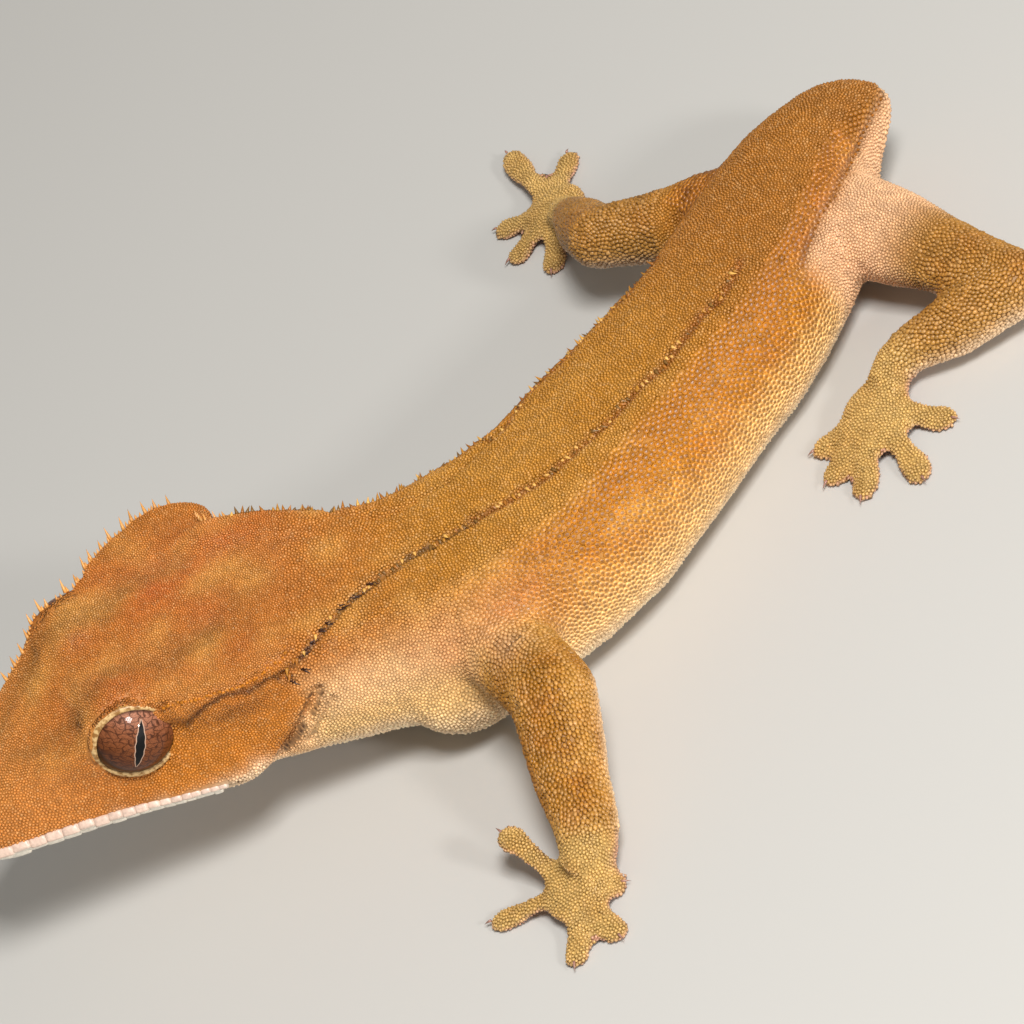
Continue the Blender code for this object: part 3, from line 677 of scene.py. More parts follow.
def marking(site, normals):
    """The skin's colour at each point, as linear light: tints laid over each other in turn."""
    p, bearing, s = site.points, site.bearing, site.s
    large, middle, small = blotches(p, 7.0, 1), blotches(p, 3.0, 2), blotches(p, 1.2, 3, -0.1, 0.5)
    cloud = blotches(p, 5.0, 7, 0.1, 0.5)
    body, head = site.on("neck", "trunk", "tail_stub"), site.on("head", "lower_jaw")
    arm, hand = site.on("upper_arm", "forearm"), site.on("hand", "foot")
    thigh, shank = site.on("thigh"), site.on("shank")
    below_back, below_top = 1 - between(bearing, 30, 42), 1 - between(bearing, 30, 44)
    band = between(bearing, 20, 32) * (1 - between(bearing, 38, 46))
    nape = body * (1 - between(s, 33, 52)) * between(bearing, 15, 40)
    bare = body * past_hip_edge(site) * (site.out > 0)
    behind_eye = head * (1 - between(bearing, 14, 28)) * between(bearing, -6, 8) * between(s, 21, 25)
    left_side = (site.axis == "left_leg") | ((site.axis == "body") & (site.out > 0))
    thighward = between((p - hip) @ leg_way, thigh_from, thigh_to)
    upper_side = (thigh | shank | bare.astype(bool)) * between(normals[:, 2], 0.2, 0.8)
    upper_side = upper_side * np.maximum(thighward, ~left_side)
    wrist = arm * between(s, 24, 31) + shank * between(s, 30, 36)
    layers = [
        ("pale", 0.5 * middle * body),
        ("back", body * between(bearing, 36, 50) * (0.6 + 0.3 * small)),
        ("hips", body * between(s, 68, 88) * between(bearing, 10, 40) * 0.8),
        ("rust", body * small * between(bearing, -5, 12) * below_back * 0.3),
        ("hips", body * band * 0.45 * (0.5 + large) * between(s, 44, 54)),
        ("neck", body * (1 - between(s, 40, 58)) * (1 - between(bearing, 14, 48)) * 0.9),
        ("head", nape),
        ("rust", body * (1 - between(s, 46, 60)) * middle * small * 0.35 * below_top),
        ("low flank", body * (1 - between(bearing, -14, 12)) * 0.9),
        ("belly", body * (1 - between(bearing, -36, -10))),
        ("groin", bare),
        ("head", head * 1.0),
        ("pale", np.maximum(head, nape) * 0.45 * middle * between(bearing, 15, 45)),
        ("dusk", head * 0.22 * cloud * between(bearing, 15, 40)),
        ("red", head * between(bearing, 22, 45) * between(s, 9, 15) * large * (0.1 + 0.4 * small)),
        ("snout", head * (1 - between(s, 9, 15)) * 0.8),
        ("cheek", head * (1 - between(bearing, 10, 32)) * between(s, 14, 20) * 0.8),
        ("cheek", site.on("neck") * (1 - behind_jaw(site)) * (1 - between(bearing, 16, 24))),
        ("neck", head * (1 - between(bearing, 12, 18)) * behind_jaw(site)),
        ("temple", behind_eye * 0.35),
        ("throat", site.on("lower_jaw") * 1.0),
        ("throat", head * (1 - between(bearing, -36, -30)) * 1.0),
        ("arm", arm * between(s, 4, 8)),
        ("neck", arm * (1 - between(s, 4, 8))),
        ("pale", arm * 0.4 * middle),
        ("rust", arm * 0.3 * small * between(s, 10, 14)),
        ("thigh", (thigh | shank) * 1.0),
        ("thigh", bare * thighward * (site.out > 0)),
        ("groin", thigh * left_side * (1 - thighward) * 0.95),
        ("hips", upper_side * (0.25 + 0.35 * middle) * (thigh | shank | left_side)),
        ("hand", hand * 1.0 + wrist * 0.8),
        ("arm", hand * 0.5 * small),
        ("throat", (arm | thigh | shank) * between(-normals[:, 2], 0.0, 0.6) * 0.95),
        ("pad", hand * between(-normals[:, 2], 0.1, 0.6)),
        ("stub", site.on("tail_stub") * between(bearing, 0, 30) * 0.6),
    ]
    for place, (_, width, tint, amount) in zip(SPOT_PLACES, SPOTS):
        patch = np.exp(-((np.linalg.norm(p - place, axis=1) / MM / width) ** 2))
        layers.append((tint, amount * patch * (0.6 + 0.4 * small)))
    colour = np.tile(TINT["flank"], (len(p), 1))
    for tint, amount in layers:
        colour = mixed(colour, tint, amount)
    return colour


def softened(thing, values, rounds):
    """Each vertex's value drawn towards its neighbours', so that no tint ends in a hard edge."""
    edges = np.empty(len(thing.data.edges) * 2, int)
    thing.data.edges.foreach_get("vertices", edges)
    ends = np.concatenate([edges.reshape(-1, 2), edges.reshape(-1, 2)[:, ::-1]])
    number = np.bincount(ends[:, 0], minlength=len(values))
    for _ in range(rounds):
        met = [np.bincount(ends[:, 0], values[ends[:, 1], k], len(values)) / number for k in range(3)]
        values = 0.5 * values + 0.5 * np.stack(met, axis=1)
    return values


# Each line's half width in mm, tint and strength: painted shade in the folds, slits, creases and
# nostrils; along the side fold it is also a dark-brown band of the skin.
FOLD_SHADE_AND_SIDE_BAND = [
    ("jaw slit", 0.26, "dark", 1.0), ("throat fold", 0.15, "dark", 0.8), ("brow valley", 1.1, "dusk", 0.4),
    ("snout valley", 0.8, "dusk", 0.3), ("temple", 0.3, "dark", 0.75), ("nape fold", 0.26, "dark", 1.0),
    ("side fold", 0.42, "scale core", 0.75), ("hip edge", 0.3, "dark", 0.6), ("armpit", 0.2, "dark", 0.9),
    ("under arm", 0.3, "dark", 0.7), ("mouth", 0.25, "dark", 0.6), ("nostril", 0.32, "dark", 1.0),
]


def with_fold_shade(colour, p):
    """Painted shade of the folds, slits and creases as dark lines over the tints, and a fine mottle."""
    dashes = 0.45 + 0.55 * blotches(p, 1.3, 8, -0.25, 0.1)
    for name, width, tint, amount in FOLD_SHADE_AND_SIDE_BAND:
        broken = {"hip edge": dashes, "nape fold": 0.4 + 0.6 * dashes}.get(name, 1.0)
        colour = mixed(colour, tint, amount * bump_near(p, name, width) * broken)
    return colour * (0.93 + 0.14 * blotches(p, 0.9, 5, -0.4, 0.4))[:, None]


def paint(thing, colours):
    """Stores a colour for each vertex as the attribute that the materials read."""
    layer = thing.data.attributes.new("marking", "FLOAT_COLOR", "POINT")
    layer.data.foreach_set("color", np.concatenate([colours, np.ones((len(colours), 1))], axis=1).ravel())


places, normals = read_mesh(skin)
site = Site(places)
SOFT_ROUNDS = 14
ground = softened(skin, marking(site, normals), SOFT_ROUNDS)
ground_tree = KDTree(len(places))
for number, point in enumerate(places):
    ground_tree.insert(point, number)
ground_tree.balance()
skin_colours = with_fold_shade(ground, places)
gaps = [np.linalg.norm(places - middle, axis=1) for middle in eye_middles.values()]
socket_depth = np.min(gaps, axis=0) / MM
# Painted shade between the scales: the skin shows only in the gaps, so it is painted darker than the scales'
# ground.
SHADE_BETWEEN_SCALES = 0.85
paint(skin, skin_colours * SHADE_BETWEEN_SCALES)
print("skin painted,", len(TINT), "tints")

# %% [markdown]
# ## Materials
# Reptile skin is keratin over soft flesh: a satin surface with small glints on each scale. One
# function adds a node with its settings and links. The colour comes from the marking attribute,
# and fine noise in the surface breaks up the gloss.

# %% The node helper, and the skin's and the scales' materials


def add(tree, kind, settings=None, **sockets):
    """Adds a node; settings are its own values, and sockets take a value or another node's output."""
    made = tree.nodes.new("ShaderNode" + kind)
    for key, value in (settings or {}).items():
        setattr(made, key, value)
    for key, value in sockets.items():
        socket = made.inputs[int(key[1:]) if key[0] == "_" and key[1:].isdigit() else key.replace("_", " ")]
        if isinstance(value, bpy.types.NodeSocket):
            tree.links.new(value, socket)
        else:
            socket.default_value = value
    return made


def material(name):
    """A new material, its node tree and its shader."""
    made = bpy.data.materials.new(name)
    made.use_nodes = True
    tree = made.node_tree
    return made, tree, tree.nodes["Principled BSDF"]


def keratin(name, grain_mm, low, high, bump_mm):
    """Scaly skin: colour from the marking, satin gloss between two roughness values."""
    made, tree, shader = material(name)
    place = add(tree, "TexCoord").outputs["Object"]
    colour = add(tree, "Attribute", {"attribute_name": "marking"}).outputs["Color"]
    grain = add(tree, "TexNoise", Vector=place, Scale=1.0 / (grain_mm * MM), Detail=3.0).outputs["Fac"]
    spread = {"Value": grain, "From_Min": 0.3, "From_Max": 0.7}
    shade = add(tree, "MapRange", **spread, To_Min=0.86, To_Max=1.14).outputs["Result"]
    tinted = add(tree, "Mix", {"data_type": "RGBA", "blend_type": "MULTIPLY"}, _0=1.0, _6=colour, _7=shade)
    tree.links.new(tinted.outputs[2], shader.inputs["Base Color"])
    gloss = add(tree, "MapRange", **spread, To_Min=low, To_Max=high).outputs["Result"]
    tree.links.new(gloss, shader.inputs["Roughness"])
    bump = add(tree, "Bump", Height=grain, Strength=0.4, Distance=bump_mm * MM)
    tree.links.new(bump.outputs["Normal"], shader.inputs["Normal"])
    shader.inputs["IOR"].default_value = 1.5
    return made


skin_material = keratin("soft reptile skin", 0.25, 0.5, 0.7, 0.06)
scale_material = keratin("keratin scales", 0.12, 0.3, 0.48, 0.02)
skin.data.materials.append(skin_material)
skin.data.shade_smooth()
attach(skin, "root")
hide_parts(*flesh)
print("materials:", [m.name for m in bpy.data.materials if m.users])

# %% [markdown]
# ## Where the scales sit
# Gecko scales are granules packed like pebbles: finest on the head, largest on the flank. Many more
# points are thrown on the skin than there is room for, one is kept wherever it is clear of those
# kept before it, and the kept ones are pushed apart and laid back on the skin a few times, until
# they pack evenly. That suits toes and armpits, where rows would tear.

# %% Strew the roots and let them settle
rng = np.random.default_rng(11)
ROUNDS = 6
TRIES, APART = 5, 0.70
HEXAGON = 0.866
LID_BARE, NEAR_BALL, IN_SOCKET = 1.9, 0.6, 0.1


def spacing(site):
    """Distance between scales in mm."""
    bearing, s = site.bearing, site.s
    body = site.on("neck", "trunk", "tail_stub")
    d = np.full(len(site.points), 0.42)
    flank = between(s, 44, 58) * (1 - between(bearing, 36, 46)) * between(bearing, -26, 2)
    flank = flank * (1 - past_hip_edge(site))
    d = np.where(body, 0.30 + 0.18 * flank + 0.07 * (1 - between(bearing, -26, 2)), d)
    d = np.where(body & (bearing < -35), 0.5, d)
    face = 0.235 + 0.04 * (1 - between(s, 6, 13)) + 0.035 * (1 - between(bearing, 5, 30))
    d = np.where(site.on("head"), face, d)
    d = np.where(site.on("lower_jaw"), 0.34, d)
    d = np.where(site.on("hand", "foot"), 0.31, d)
    d = np.where(site.on("upper_arm", "forearm", "thigh", "shank"), 0.38, d)
    return d


def triangles_of(thing):
    """The three corners of each triangle of an object's mesh, as vertex numbers."""
    thing.data.calc_loop_triangles()
    corners = np.empty(len(thing.data.loop_triangles) * 3, int)
    thing.data.loop_triangles.foreach_get("vertices", corners)
    return corners.reshape(-1, 3)


corners = triangles_of(skin)
a, b, c = (places[corners[:, k]] for k in range(3))
area = np.linalg.norm(np.cross(b - a, c - a), axis=1) / 2 / MM**2
room = spacing(site)[corners[:, 0]]
weight = area / (HEXAGON * room**2)
for name in EYES:
    size, tilt, angle = by_eye(a, name)
    bare = opening_tilt(angle) + LID_BARE * lid_width(angle) / EYE_RADIUS
    weight[(size < EYE_RADIUS + NEAR_BALL) & (tilt < bare)] = 0.0
weight[socket_depth[corners[:, 0]] < EYE_RADIUS - IN_SOCKET] = 0.0
count = TRIES * int(weight.sum())
chosen = rng.choice(len(corners), size=count, p=weight / weight.sum())
r1, r2 = rng.random((2, count))
flip = r1 + r2 > 1
r1, r2 = np.where(flip, 1 - r1, r1), np.where(flip, 1 - r2, r2)
thrown = a[chosen] + r1[:, None] * (b - a)[chosen] + r2[:, None] * (c - a)[chosen]
reach = room[chosen] * MM


def clear_of_each_other(thrown, reach):
    """Keeps each place that is clear of all those kept before it."""
    tree = KDTree(len(thrown))
    for k, place in enumerate(thrown):
        tree.insert(place, k)
    tree.balance()
    free, kept = bytearray(b"\1") * len(thrown), []
    for k, place in enumerate(thrown):
        if free[k]:
            kept.append(k)
            for _, other, _ in tree.find_range(place, APART * reach[k]):
                free[other] = 0
    return np.array(kept)


kept = clear_of_each_other(thrown, reach)
roots, reach = thrown[kept], reach[kept]
print("skin area", round(float(area.sum())), "mm2;", count, "thrown,", len(roots), "scales kept")


NEIGHBOURS, WANTED_GAP, GIVE = 8, 1.1, 0.32


def settled(roots, reach, rounds):
    """Pushes crowded points apart and lays them back on the skin."""
    for _ in range(rounds):
        tree = KDTree(len(roots))
        for k, root in enumerate(roots):
            tree.insert(root, k)
        tree.balance()
        near = np.array([[n[1] for n in tree.find_n(root, NEIGHBOURS)] for root in roots])[:, 1:]
        gap = roots[:, None] - roots[near]
        length = np.linalg.norm(gap, axis=2) + 1e-9
        wanted = WANTED_GAP * (reach[:, None] + reach[near]) / 2
        push = np.clip(wanted - length, 0, None) / length
        roots = roots + GIVE * (gap * push[:, :, None]).sum(axis=1)
        roots = np.array([surface.find_nearest(Vector(root))[0] for root in roots])
    return roots


roots = settled(roots, reach, ROUNDS)
faces_up = np.array([surface.find_nearest(Vector(root))[1] for root in roots])
print("roots settled in", ROUNDS, "rounds")

# %% [markdown]
# ## The scales
# Each scale is a closed little dome whose edge is sunk in the skin. With some seventy thousand of
# them, each has only as many faces as its place needs. A granule of the head, back, throat and feet
# is a ring of six and a crown. A limb's scale has a second ring and is drawn backwards into a
# point, so that it overlaps the next and notches the outline. A flank's plate has three rings and a
# darker core, which gives the net that the photograph shows. Instances on points would be quicker
# to set up, but each scale here gets its own size, turn, tint and place on the map for baking.

# %% Shape the domes
SIDES = 6
around = np.arange(SIDES) * 2 * np.pi / SIDES
HALF_WIDTH, SUNK, FLECKED = 0.64, -0.25, 0.22
GRANULE_RINGS = [(1.0, SUNK, 1.0)]
POINTED_RINGS = [(1.0, SUNK, 1.0), (0.62, 0.62, 1.35)]
PLATE_RINGS = [(1.0, SUNK, 1.0), (0.72, 0.62, 1.2), (0.33, 0.94, 1.2)]


class Look:
    """For each scale: height and point against its spacing, and each ring's brightness: painted shade at the
    rim and a painted highlight on the crown, but on the flank a paler rim round a darker core.
    """

    def __init__(self, site):
        body = site.on("neck", "trunk", "tail_stub")
        limb = site.on("forearm", "shank", "upper_arm", "thigh")
        low = body & (site.bearing < -22)
        self.flank = body * between(site.s, 44, 56) * (1 - between(site.bearing, 36, 46))
        self.flank = self.flank * between(site.bearing, -30, -8) * (1 - past_hip_edge(site))
        self.height = np.where(limb, 0.52, 0.45 - 0.10 * self.flank)
        self.point = np.where(limb, 0.8, 0.3 + 0.2 * self.flank)
        self.point = np.where(low, 0.6, self.point)
        # Painted light: granules and limb scales are painted darker at the rim as shade and lighter on the
        # crown as a highlight; the flank's paler rim and darker core make its net.
        self.rim = np.where(limb, 0.9, 0.86 + 0.3 * self.flank)
        self.shoulder = np.where(limb, 1.0, 1.0 + 0.16 * self.flank)
        self.crown = np.where(limb, 1.12, 1.14 - 0.34 * self.flank)
        self.core = 0.62 * self.flank


def coat_mesh(name, k, rings, flat_uv):
    """One joined mesh of domes on the roots k, with its markings and its map for baking."""
    count, rows = len(k), len(rings)
    n = unit(faces_up[k])
    forward = coat.forward[k]
    back = unit(forward - (forward * n).sum(axis=1)[:, None] * n)
    side = np.cross(n, back)
    spin = rng.uniform(-0.3, 0.3, count)
    size = reach[k] * rng.uniform(0.88, 1.12, count)
    height, point = look.height[k] * rng.uniform(0.8, 1.2, count), look.point[k]
    each = rows * SIDES + 1
    vertices, ring_light_and_net, local = np.empty((count, each, 3)), np.empty((count, each)), np.zeros((each, 2))
    for row, (radius, lift, drawn) in enumerate(rings):
        for j, angle in enumerate(around):
            x, y = np.cos(angle + spin), np.sin(angle + spin)
            tail = np.clip(x, 0, None) ** 2 * point
            wide = size * HALF_WIDTH * radius
            rise = size * height * (lift + 0.45 * tail)
            along = wide * (x + 0.6 * drawn * tail)
            vertices[:, row * SIDES + j] = (
                roots[k] + along[:, None] * back + (wide * y)[:, None] * side + rise[:, None] * n
            )
            local[row * SIDES + j] = radius * np.cos(angle), radius * np.sin(angle)
        # Each ring's brightness from the look: painted shade at the rim and a painted highlight on the crown,
        # and the flank's net.
        ring_light_and_net[:, row * SIDES:(row + 1) * SIDES] = (look.rim, look.shoulder, look.crown)[row][k][:, None]
    vertices[:, -1] = roots[k] + (size * 0.3 * point)[:, None] * back + (size * height)[:, None] * n
    ring_light_and_net[:, -1] = look.crown[k]
    faces = [[(rows - 1) * SIDES + j, (rows - 1) * SIDES + (j + 1) % SIDES, each - 1] for j in range(SIDES)]
    for row in range(rows - 1):
        for j in range(SIDES):
            here, after = row * SIDES + j, row * SIDES + (j + 1) % SIDES
            faces += [[here, after, after + SIDES], [here, after + SIDES, here + SIDES]]
    faces += [[0, j + 1, j] for j in range(1, SIDES - 1)]
    every = (np.array(faces)[None] + (np.arange(count) * each)[:, None, None]).reshape(-1, 3)
    points = vertices.reshape(-1, 3)
    points[:, 2] = np.maximum(points[:, 2], 0.0)
    fleck = np.where(rng.random(count) < FLECKED, rng.uniform(0.05, 0.25, count), 0.0) * (1 - look.flank[k])
    tint = np.repeat(mixed(coat_colours[k], "fleck", fleck)[:, None], each, axis=1)
    core = look.core[k][:, None, None]
    tint[:, 2 * SIDES:] = tint[:, 2 * SIDES:] * (1 - core) + TINT["scale core"] * core
    tint = tint * ring_light_and_net[:, :, None] * rng.uniform(0.85, 1.15, count)[:, None, None]
    thing = quick_mesh(name, points, every)
    layer = thing.data.uv_layers.new(name="OFBake")
    uv = (flat_uv[:, None] + PATCH / 2 * local[None]).reshape(-1, 2)
    layer.data.foreach_set("uv", uv[every.ravel()].ravel())
    paint(thing, np.clip(tint, 0, 1).reshape(-1, 3))
    dressed(thing, scale_material)
    return len(every)


def quick_mesh(name, points, triangles):
    """An object from arrays of places and triangles."""
    mesh = bpy.data.meshes.new(name)
    mesh.vertices.add(len(points))
    mesh.vertices.foreach_set("co", points.ravel())
    mesh.loops.add(triangles.size)
    mesh.loops.foreach_set("vertex_index", triangles.ravel().astype(np.int32))
    mesh.polygons.add(len(triangles))
    mesh.polygons.foreach_set("loop_start", (np.arange(len(triangles)) * 3).astype(np.int32))
    mesh.update(calc_edges=True)
    thing = bpy.data.objects.new(name, mesh)
    bpy.context.scene.collection.objects.link(thing)
    return thing


def dressed(thing, matter):
    """Gives a piece its material, smooth shading and body."""
    thing.data.materials.clear()
    thing.data.materials.append(matter)
    thing.data.shade_smooth()
    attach(thing, "root")
    return thing


# The side of each scale's patch on the map for baking.
PATCH = 0.003
print("a granule has", 2 * SIDES - 2, "faces, a plate", 6 * SIDES - 2)

# %% [markdown]
# ## The coat in pieces
# One mesh of all the scales would be too heavy to handle, so they are sorted by place, and a piece
# that grows too large is split along the body. No scale grows in the slits, in the nostrils and
# under the lip plates, where the skin lies open.

# %% Sort the scales into pieces and make them
coat = Site(roots)
look = Look(coat)
open_ground = np.ones(len(roots), bool)
for name, width in (("jaw slit", 0.27), ("throat fold", 0.12), ("nape fold", 0.10), ("nostril", 0.25)):
    open_ground &= distance_to(roots, LINES[name]) > width
LIP_HEIGHTS, LIP_CLEAR = (-0.9, -0.3, 0.4, 0.85), 0.36
lip_bare = [along_lip(sign, over, 0.4, 23.0, 0.2) for sign in (1, -1) for over in LIP_HEIGHTS]
open_ground &= distance_to(roots, lip_bare) > LIP_CLEAR
coat_colours = with_fold_shade(ground[[ground_tree.find(p)[1] for p in roots]], roots)
limb_number = {name: k for k, name in enumerate(LIMBS)}


def scaled(values):
    """Values spread over 0 to 1, a little inside."""
    low, high = values.min(), values.max()
    return 0.01 + 0.98 * (values - low) / (high - low + 1e-9)


def map_round(mine):
    """Distance and bearing on a flat square, a strip of it for each limb."""
    u, v = np.empty(len(mine)), np.empty(len(mine))
    names = sorted(set(coat.axis[mine]))
    for row, name in enumerate(names):
        part = coat.axis[mine] == name
        turn = np.arctan2(coat.rise[mine][part], coat.out[mine][part])
        u[part] = scaled(coat.s[mine][part])
        v[part] = (row + scaled(turn)) / len(names)
    return np.stack([u, v], axis=1)


def map_flat(mine):
    """Hands and feet from above and from below, each in a square of its own."""
    uv = np.empty((len(mine), 2))
    for name, number in limb_number.items():
        for below in (0, 1):
            part = (coat.axis[mine] == name) & ((faces_up[mine][:, 2] < 0) == bool(below))
            if part.any():
                uv[part, 0] = (number + scaled(coat.points[mine][part, 0])) / 4
                uv[part, 1] = (below + scaled(coat.points[mine][part, 1])) / 2
    return uv


left_half, trunk, on_flank = coat.out > 0, coat.on("trunk"), look.flank >= 0.3
GROUPS = {
    "scales_head_left": (coat.on("head") & left_half, GRANULE_RINGS),
    "scales_head_right": (coat.on("head") & ~left_half, GRANULE_RINGS),
    "scales_throat_neck": (coat.on("lower_jaw", "neck"), GRANULE_RINGS),
    "scales_back": (trunk & ~on_flank & (coat.bearing > 0), GRANULE_RINGS),
    "scales_belly": (trunk & ~on_flank & (coat.bearing <= 0), GRANULE_RINGS),
    "scales_flank_left": (trunk & on_flank & left_half, PLATE_RINGS),
    "scales_flank_right": (trunk & on_flank & ~left_half, PLATE_RINGS),
    "scales_tail_stub": (coat.on("tail_stub"), GRANULE_RINGS),
    "scales_arms": (coat.on("upper_arm", "forearm"), POINTED_RINGS),
    "scales_legs": (coat.on("thigh", "shank"), POINTED_RINGS),
    "scales_hands_feet": (coat.on("hand", "foot"), GRANULE_RINGS),
}
MOST_TRIANGLES = 190000
total = 0
for name, (chosen, rings) in GROUPS.items():
    mine = np.flatnonzero(chosen & open_ground)
    mine = mine[np.argsort(coat.s[mine], kind="stable")]
    flat = map_flat(mine) if name == "scales_hands_feet" else map_round(mine)
    faces_each = 2 * SIDES * (len(rings) - 1) + 2 * SIDES - 2
    parts = -(-len(mine) * faces_each // MOST_TRIANGLES)
    for number, part in enumerate(np.array_split(np.arange(len(mine)), parts)):
        label = name if parts == 1 else f"{name}_{number + 1}"
        made = coat_mesh(label, mine[part], rings, flat[part])
        total += made
        print(label, len(part), "scales,", made, "triangles")
print("coat:", total, "triangles")

# %% [markdown]
# ## The eyes
# A gecko has no moving lids: a clear spectacle covers a mauve-brown iris with dark branching
# veins, and the pupil is an upright slit with a thin pale edge. The ball is drawn as a sphere
# that faces the way the eye looks, with a map of its own for the iris, under a coat of gloss.

# %% Model the eyeballs


def eyeball(name):
    """A ball in one eye's place, with a map on which the iris lies square to its gaze."""
    side, up, gaze = LOOKS[name]
    bpy.ops.object.select_all(action="DESELECT")
    bpy.ops.mesh.primitive_uv_sphere_add(segments=96, ring_count=64, radius=EYE_RADIUS * MM)
    ball = bpy.context.view_layer.objects.active
    ball.name = name + "_ball"
    turn = Matrix([np.cross(up, gaze), up, gaze]).transposed().to_4x4()
    ball.data.transform(Matrix.Translation(eye_middles[name]) @ turn)
    places, _ = read_mesh(ball)
    local = (places - eye_middles[name]) / (EYE_RADIUS * MM)
    flat = 0.5 + 0.5 * np.stack([local @ side, local @ up], axis=1)
    layer = ball.data.uv_layers[0]
    layer.name = "iris"
    index = np.empty(len(ball.data.loops), int)
    ball.data.loops.foreach_get("vertex_index", index)
    layer.data.foreach_set("uv", flat[index].ravel())
    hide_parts(name)
    return ball


eyeballs = [eyeball(name) for name in EYES]
print("eyeballs:", [ball.name for ball in eyeballs])

# %% [markdown]
# ## The iris
# The spectacle is a clear scale over a wet-looking iris, and a smooth coat over the colour gives its
# sharp glints. The veins are the edges of warped cells, coarse and fine, and the pupil is a
# slit drawn by a formula, so that both stay sharp from near by, which a picture would not.

# %% Paint the iris
MAP_RANGE, RGBA, MULTIPLIED = "MapRange", {"data_type": "RGBA"}, {"operation": "MULTIPLY"}
iris, tree, shader = material("clear spectacle over a veined iris")
flat = add(tree, "UVMap", {"uv_map": "iris"}).outputs["UV"]
centred = add(tree, "VectorMath", {"operation": "SUBTRACT"}, _0=flat, _1=(0.5, 0.5, 0.0)).outputs[0]
parts = add(tree, "SeparateXYZ", Vector=centred)
across, rise = parts.outputs["X"], parts.outputs["Y"]
warp = add(tree, "TexNoise", Vector=flat, Scale=9.0, Detail=2.0).outputs["Color"]
shift = {"operation": "MULTIPLY_ADD"}
warped = add(tree, "VectorMath", shift, _0=warp, _1=(0.12, 0.12, 0.0), _2=centred).outputs[0]
stretched = add(tree, "Mapping", Vector=warped, Scale=(12.0, 24.0, 1.0)).outputs[0]
edges = {"feature": "DISTANCE_TO_EDGE"}
smooth = {"interpolation_type": "SMOOTHSTEP"}
veins = add(tree, "TexVoronoi", edges, Vector=stretched, Scale=0.8).outputs["Distance"]
vein = add(tree, MAP_RANGE, smooth, Value=veins, From_Max=0.11, To_Min=0.85, To_Max=0.0).outputs["Result"]
fine = add(tree, "TexVoronoi", edges, Vector=stretched, Scale=2.2).outputs["Distance"]
thin = add(tree, MAP_RANGE, smooth, Value=fine, From_Max=0.12, To_Min=0.5, To_Max=0.0).outputs["Result"]
either = add(tree, "Math", {"operation": "MAXIMUM"}, _0=vein, _1=thin).outputs[0]
height = add(tree, MAP_RANGE, Value=rise, From_Min=-0.38, From_Max=0.38).outputs["Result"]
ramp = add(tree, "ValToRGB", Fac=height)
ramp.color_ramp.elements[0].color = (*linear("#55290f"), 1)
ramp.color_ramp.elements[1].color = (*linear("#b27a60"), 1)
for position, value in ((0.4, "#744020"), (0.7, "#8a5234")):
    ramp.color_ramp.elements.new(position).color = (*linear(value), 1)
veined = add(tree, "Mix", RGBA, _0=either, _6=ramp.outputs["Color"], _7=(*linear("#2a1107"), 1))
# The pupil's half width over its height: an upright slit, a little wavy.
tall = add(tree, "Math", {"operation": "DIVIDE"}, _0=rise, _1=0.29).outputs[0]
tall2 = add(tree, "Math", MULTIPLIED, _0=tall, _1=tall).outputs[0]
shape = add(tree, "Math", {"operation": "SUBTRACT", "use_clamp": True}, _0=1.0, _1=tall2).outputs[0]
waves = add(tree, "Math", MULTIPLIED, _0=rise, _1=58.0).outputs[0]
wavy = add(tree, "Math", {"operation": "COSINE"}, _0=waves).outputs[0]
half = add(tree, MAP_RANGE, Value=wavy, From_Min=-1.0, To_Min=0.046, To_Max=0.054).outputs["Result"]
limit = add(tree, "Math", MULTIPLIED, _0=shape, _1=half).outputs[0]
aside = add(tree, "Math", {"operation": "ABSOLUTE"}, _0=across).outputs[0]
over = add(tree, "Math", {"operation": "SUBTRACT"}, _0=aside, _1=limit).outputs[0]
sharp = {"Value": over, "To_Max": 0.0}
in_pupil = add(tree, MAP_RANGE, **sharp, From_Min=-0.003, From_Max=0.003, To_Min=1.0).outputs["Result"]
in_edge = add(tree, MAP_RANGE, **sharp, From_Min=0.004, From_Max=0.012, To_Min=0.75).outputs["Result"]
in_reach = add(tree, "Math", {"operation": "GREATER_THAN"}, _0=shape, _1=0.02).outputs[0]
edge = add(tree, "Math", MULTIPLIED, _0=in_edge, _1=in_reach).outputs[0]
edged = add(tree, "Mix", RGBA, _0=edge, _6=veined.outputs[2], _7=(*linear("#d8b49a"), 1))
oval = add(tree, "Mapping", Vector=centred, Scale=(1 / 0.46, 1 / 0.385, 0.0)).outputs[0]
reach_out = add(tree, "VectorMath", {"operation": "LENGTH"}, _0=oval).outputs["Value"]
rim = add(tree, MAP_RANGE, smooth, Value=reach_out, From_Min=0.86, From_Max=0.98).outputs["Result"]
rimmed = add(tree, "Mix", RGBA, _0=rim, _6=edged.outputs[2], _7=(*linear("#1d0c06"), 1))
PUPIL = (0.002, 0.002, 0.002, 1)
final = add(tree, "Mix", RGBA, _0=in_pupil, _6=rimmed.outputs[2], _7=PUPIL)
tree.links.new(final.outputs[2], shader.inputs["Base Color"])
shader.inputs["Roughness"].default_value = 0.5
shader.inputs["Specular IOR Level"].default_value = 0.1
shader.inputs["Coat Weight"].default_value = 0.45
shader.inputs["Coat Roughness"].default_value = 0.04
shader.inputs["Coat IOR"].default_value = 1.34
for ball in eyeballs:
    dressed(ball, iris)
print("iris painted with", len(tree.nodes), "nodes")

# %% [markdown]
# ## Lid rims
# Round each eye the skin ends in a thin pale rim, widest in front and below. A curve with a bevel
# would be a tube of one thickness, so the rim is a torus instead, whose points are laid round the
# opening one by one: inner edge on the opening, outer edge on the skin, a little raised.

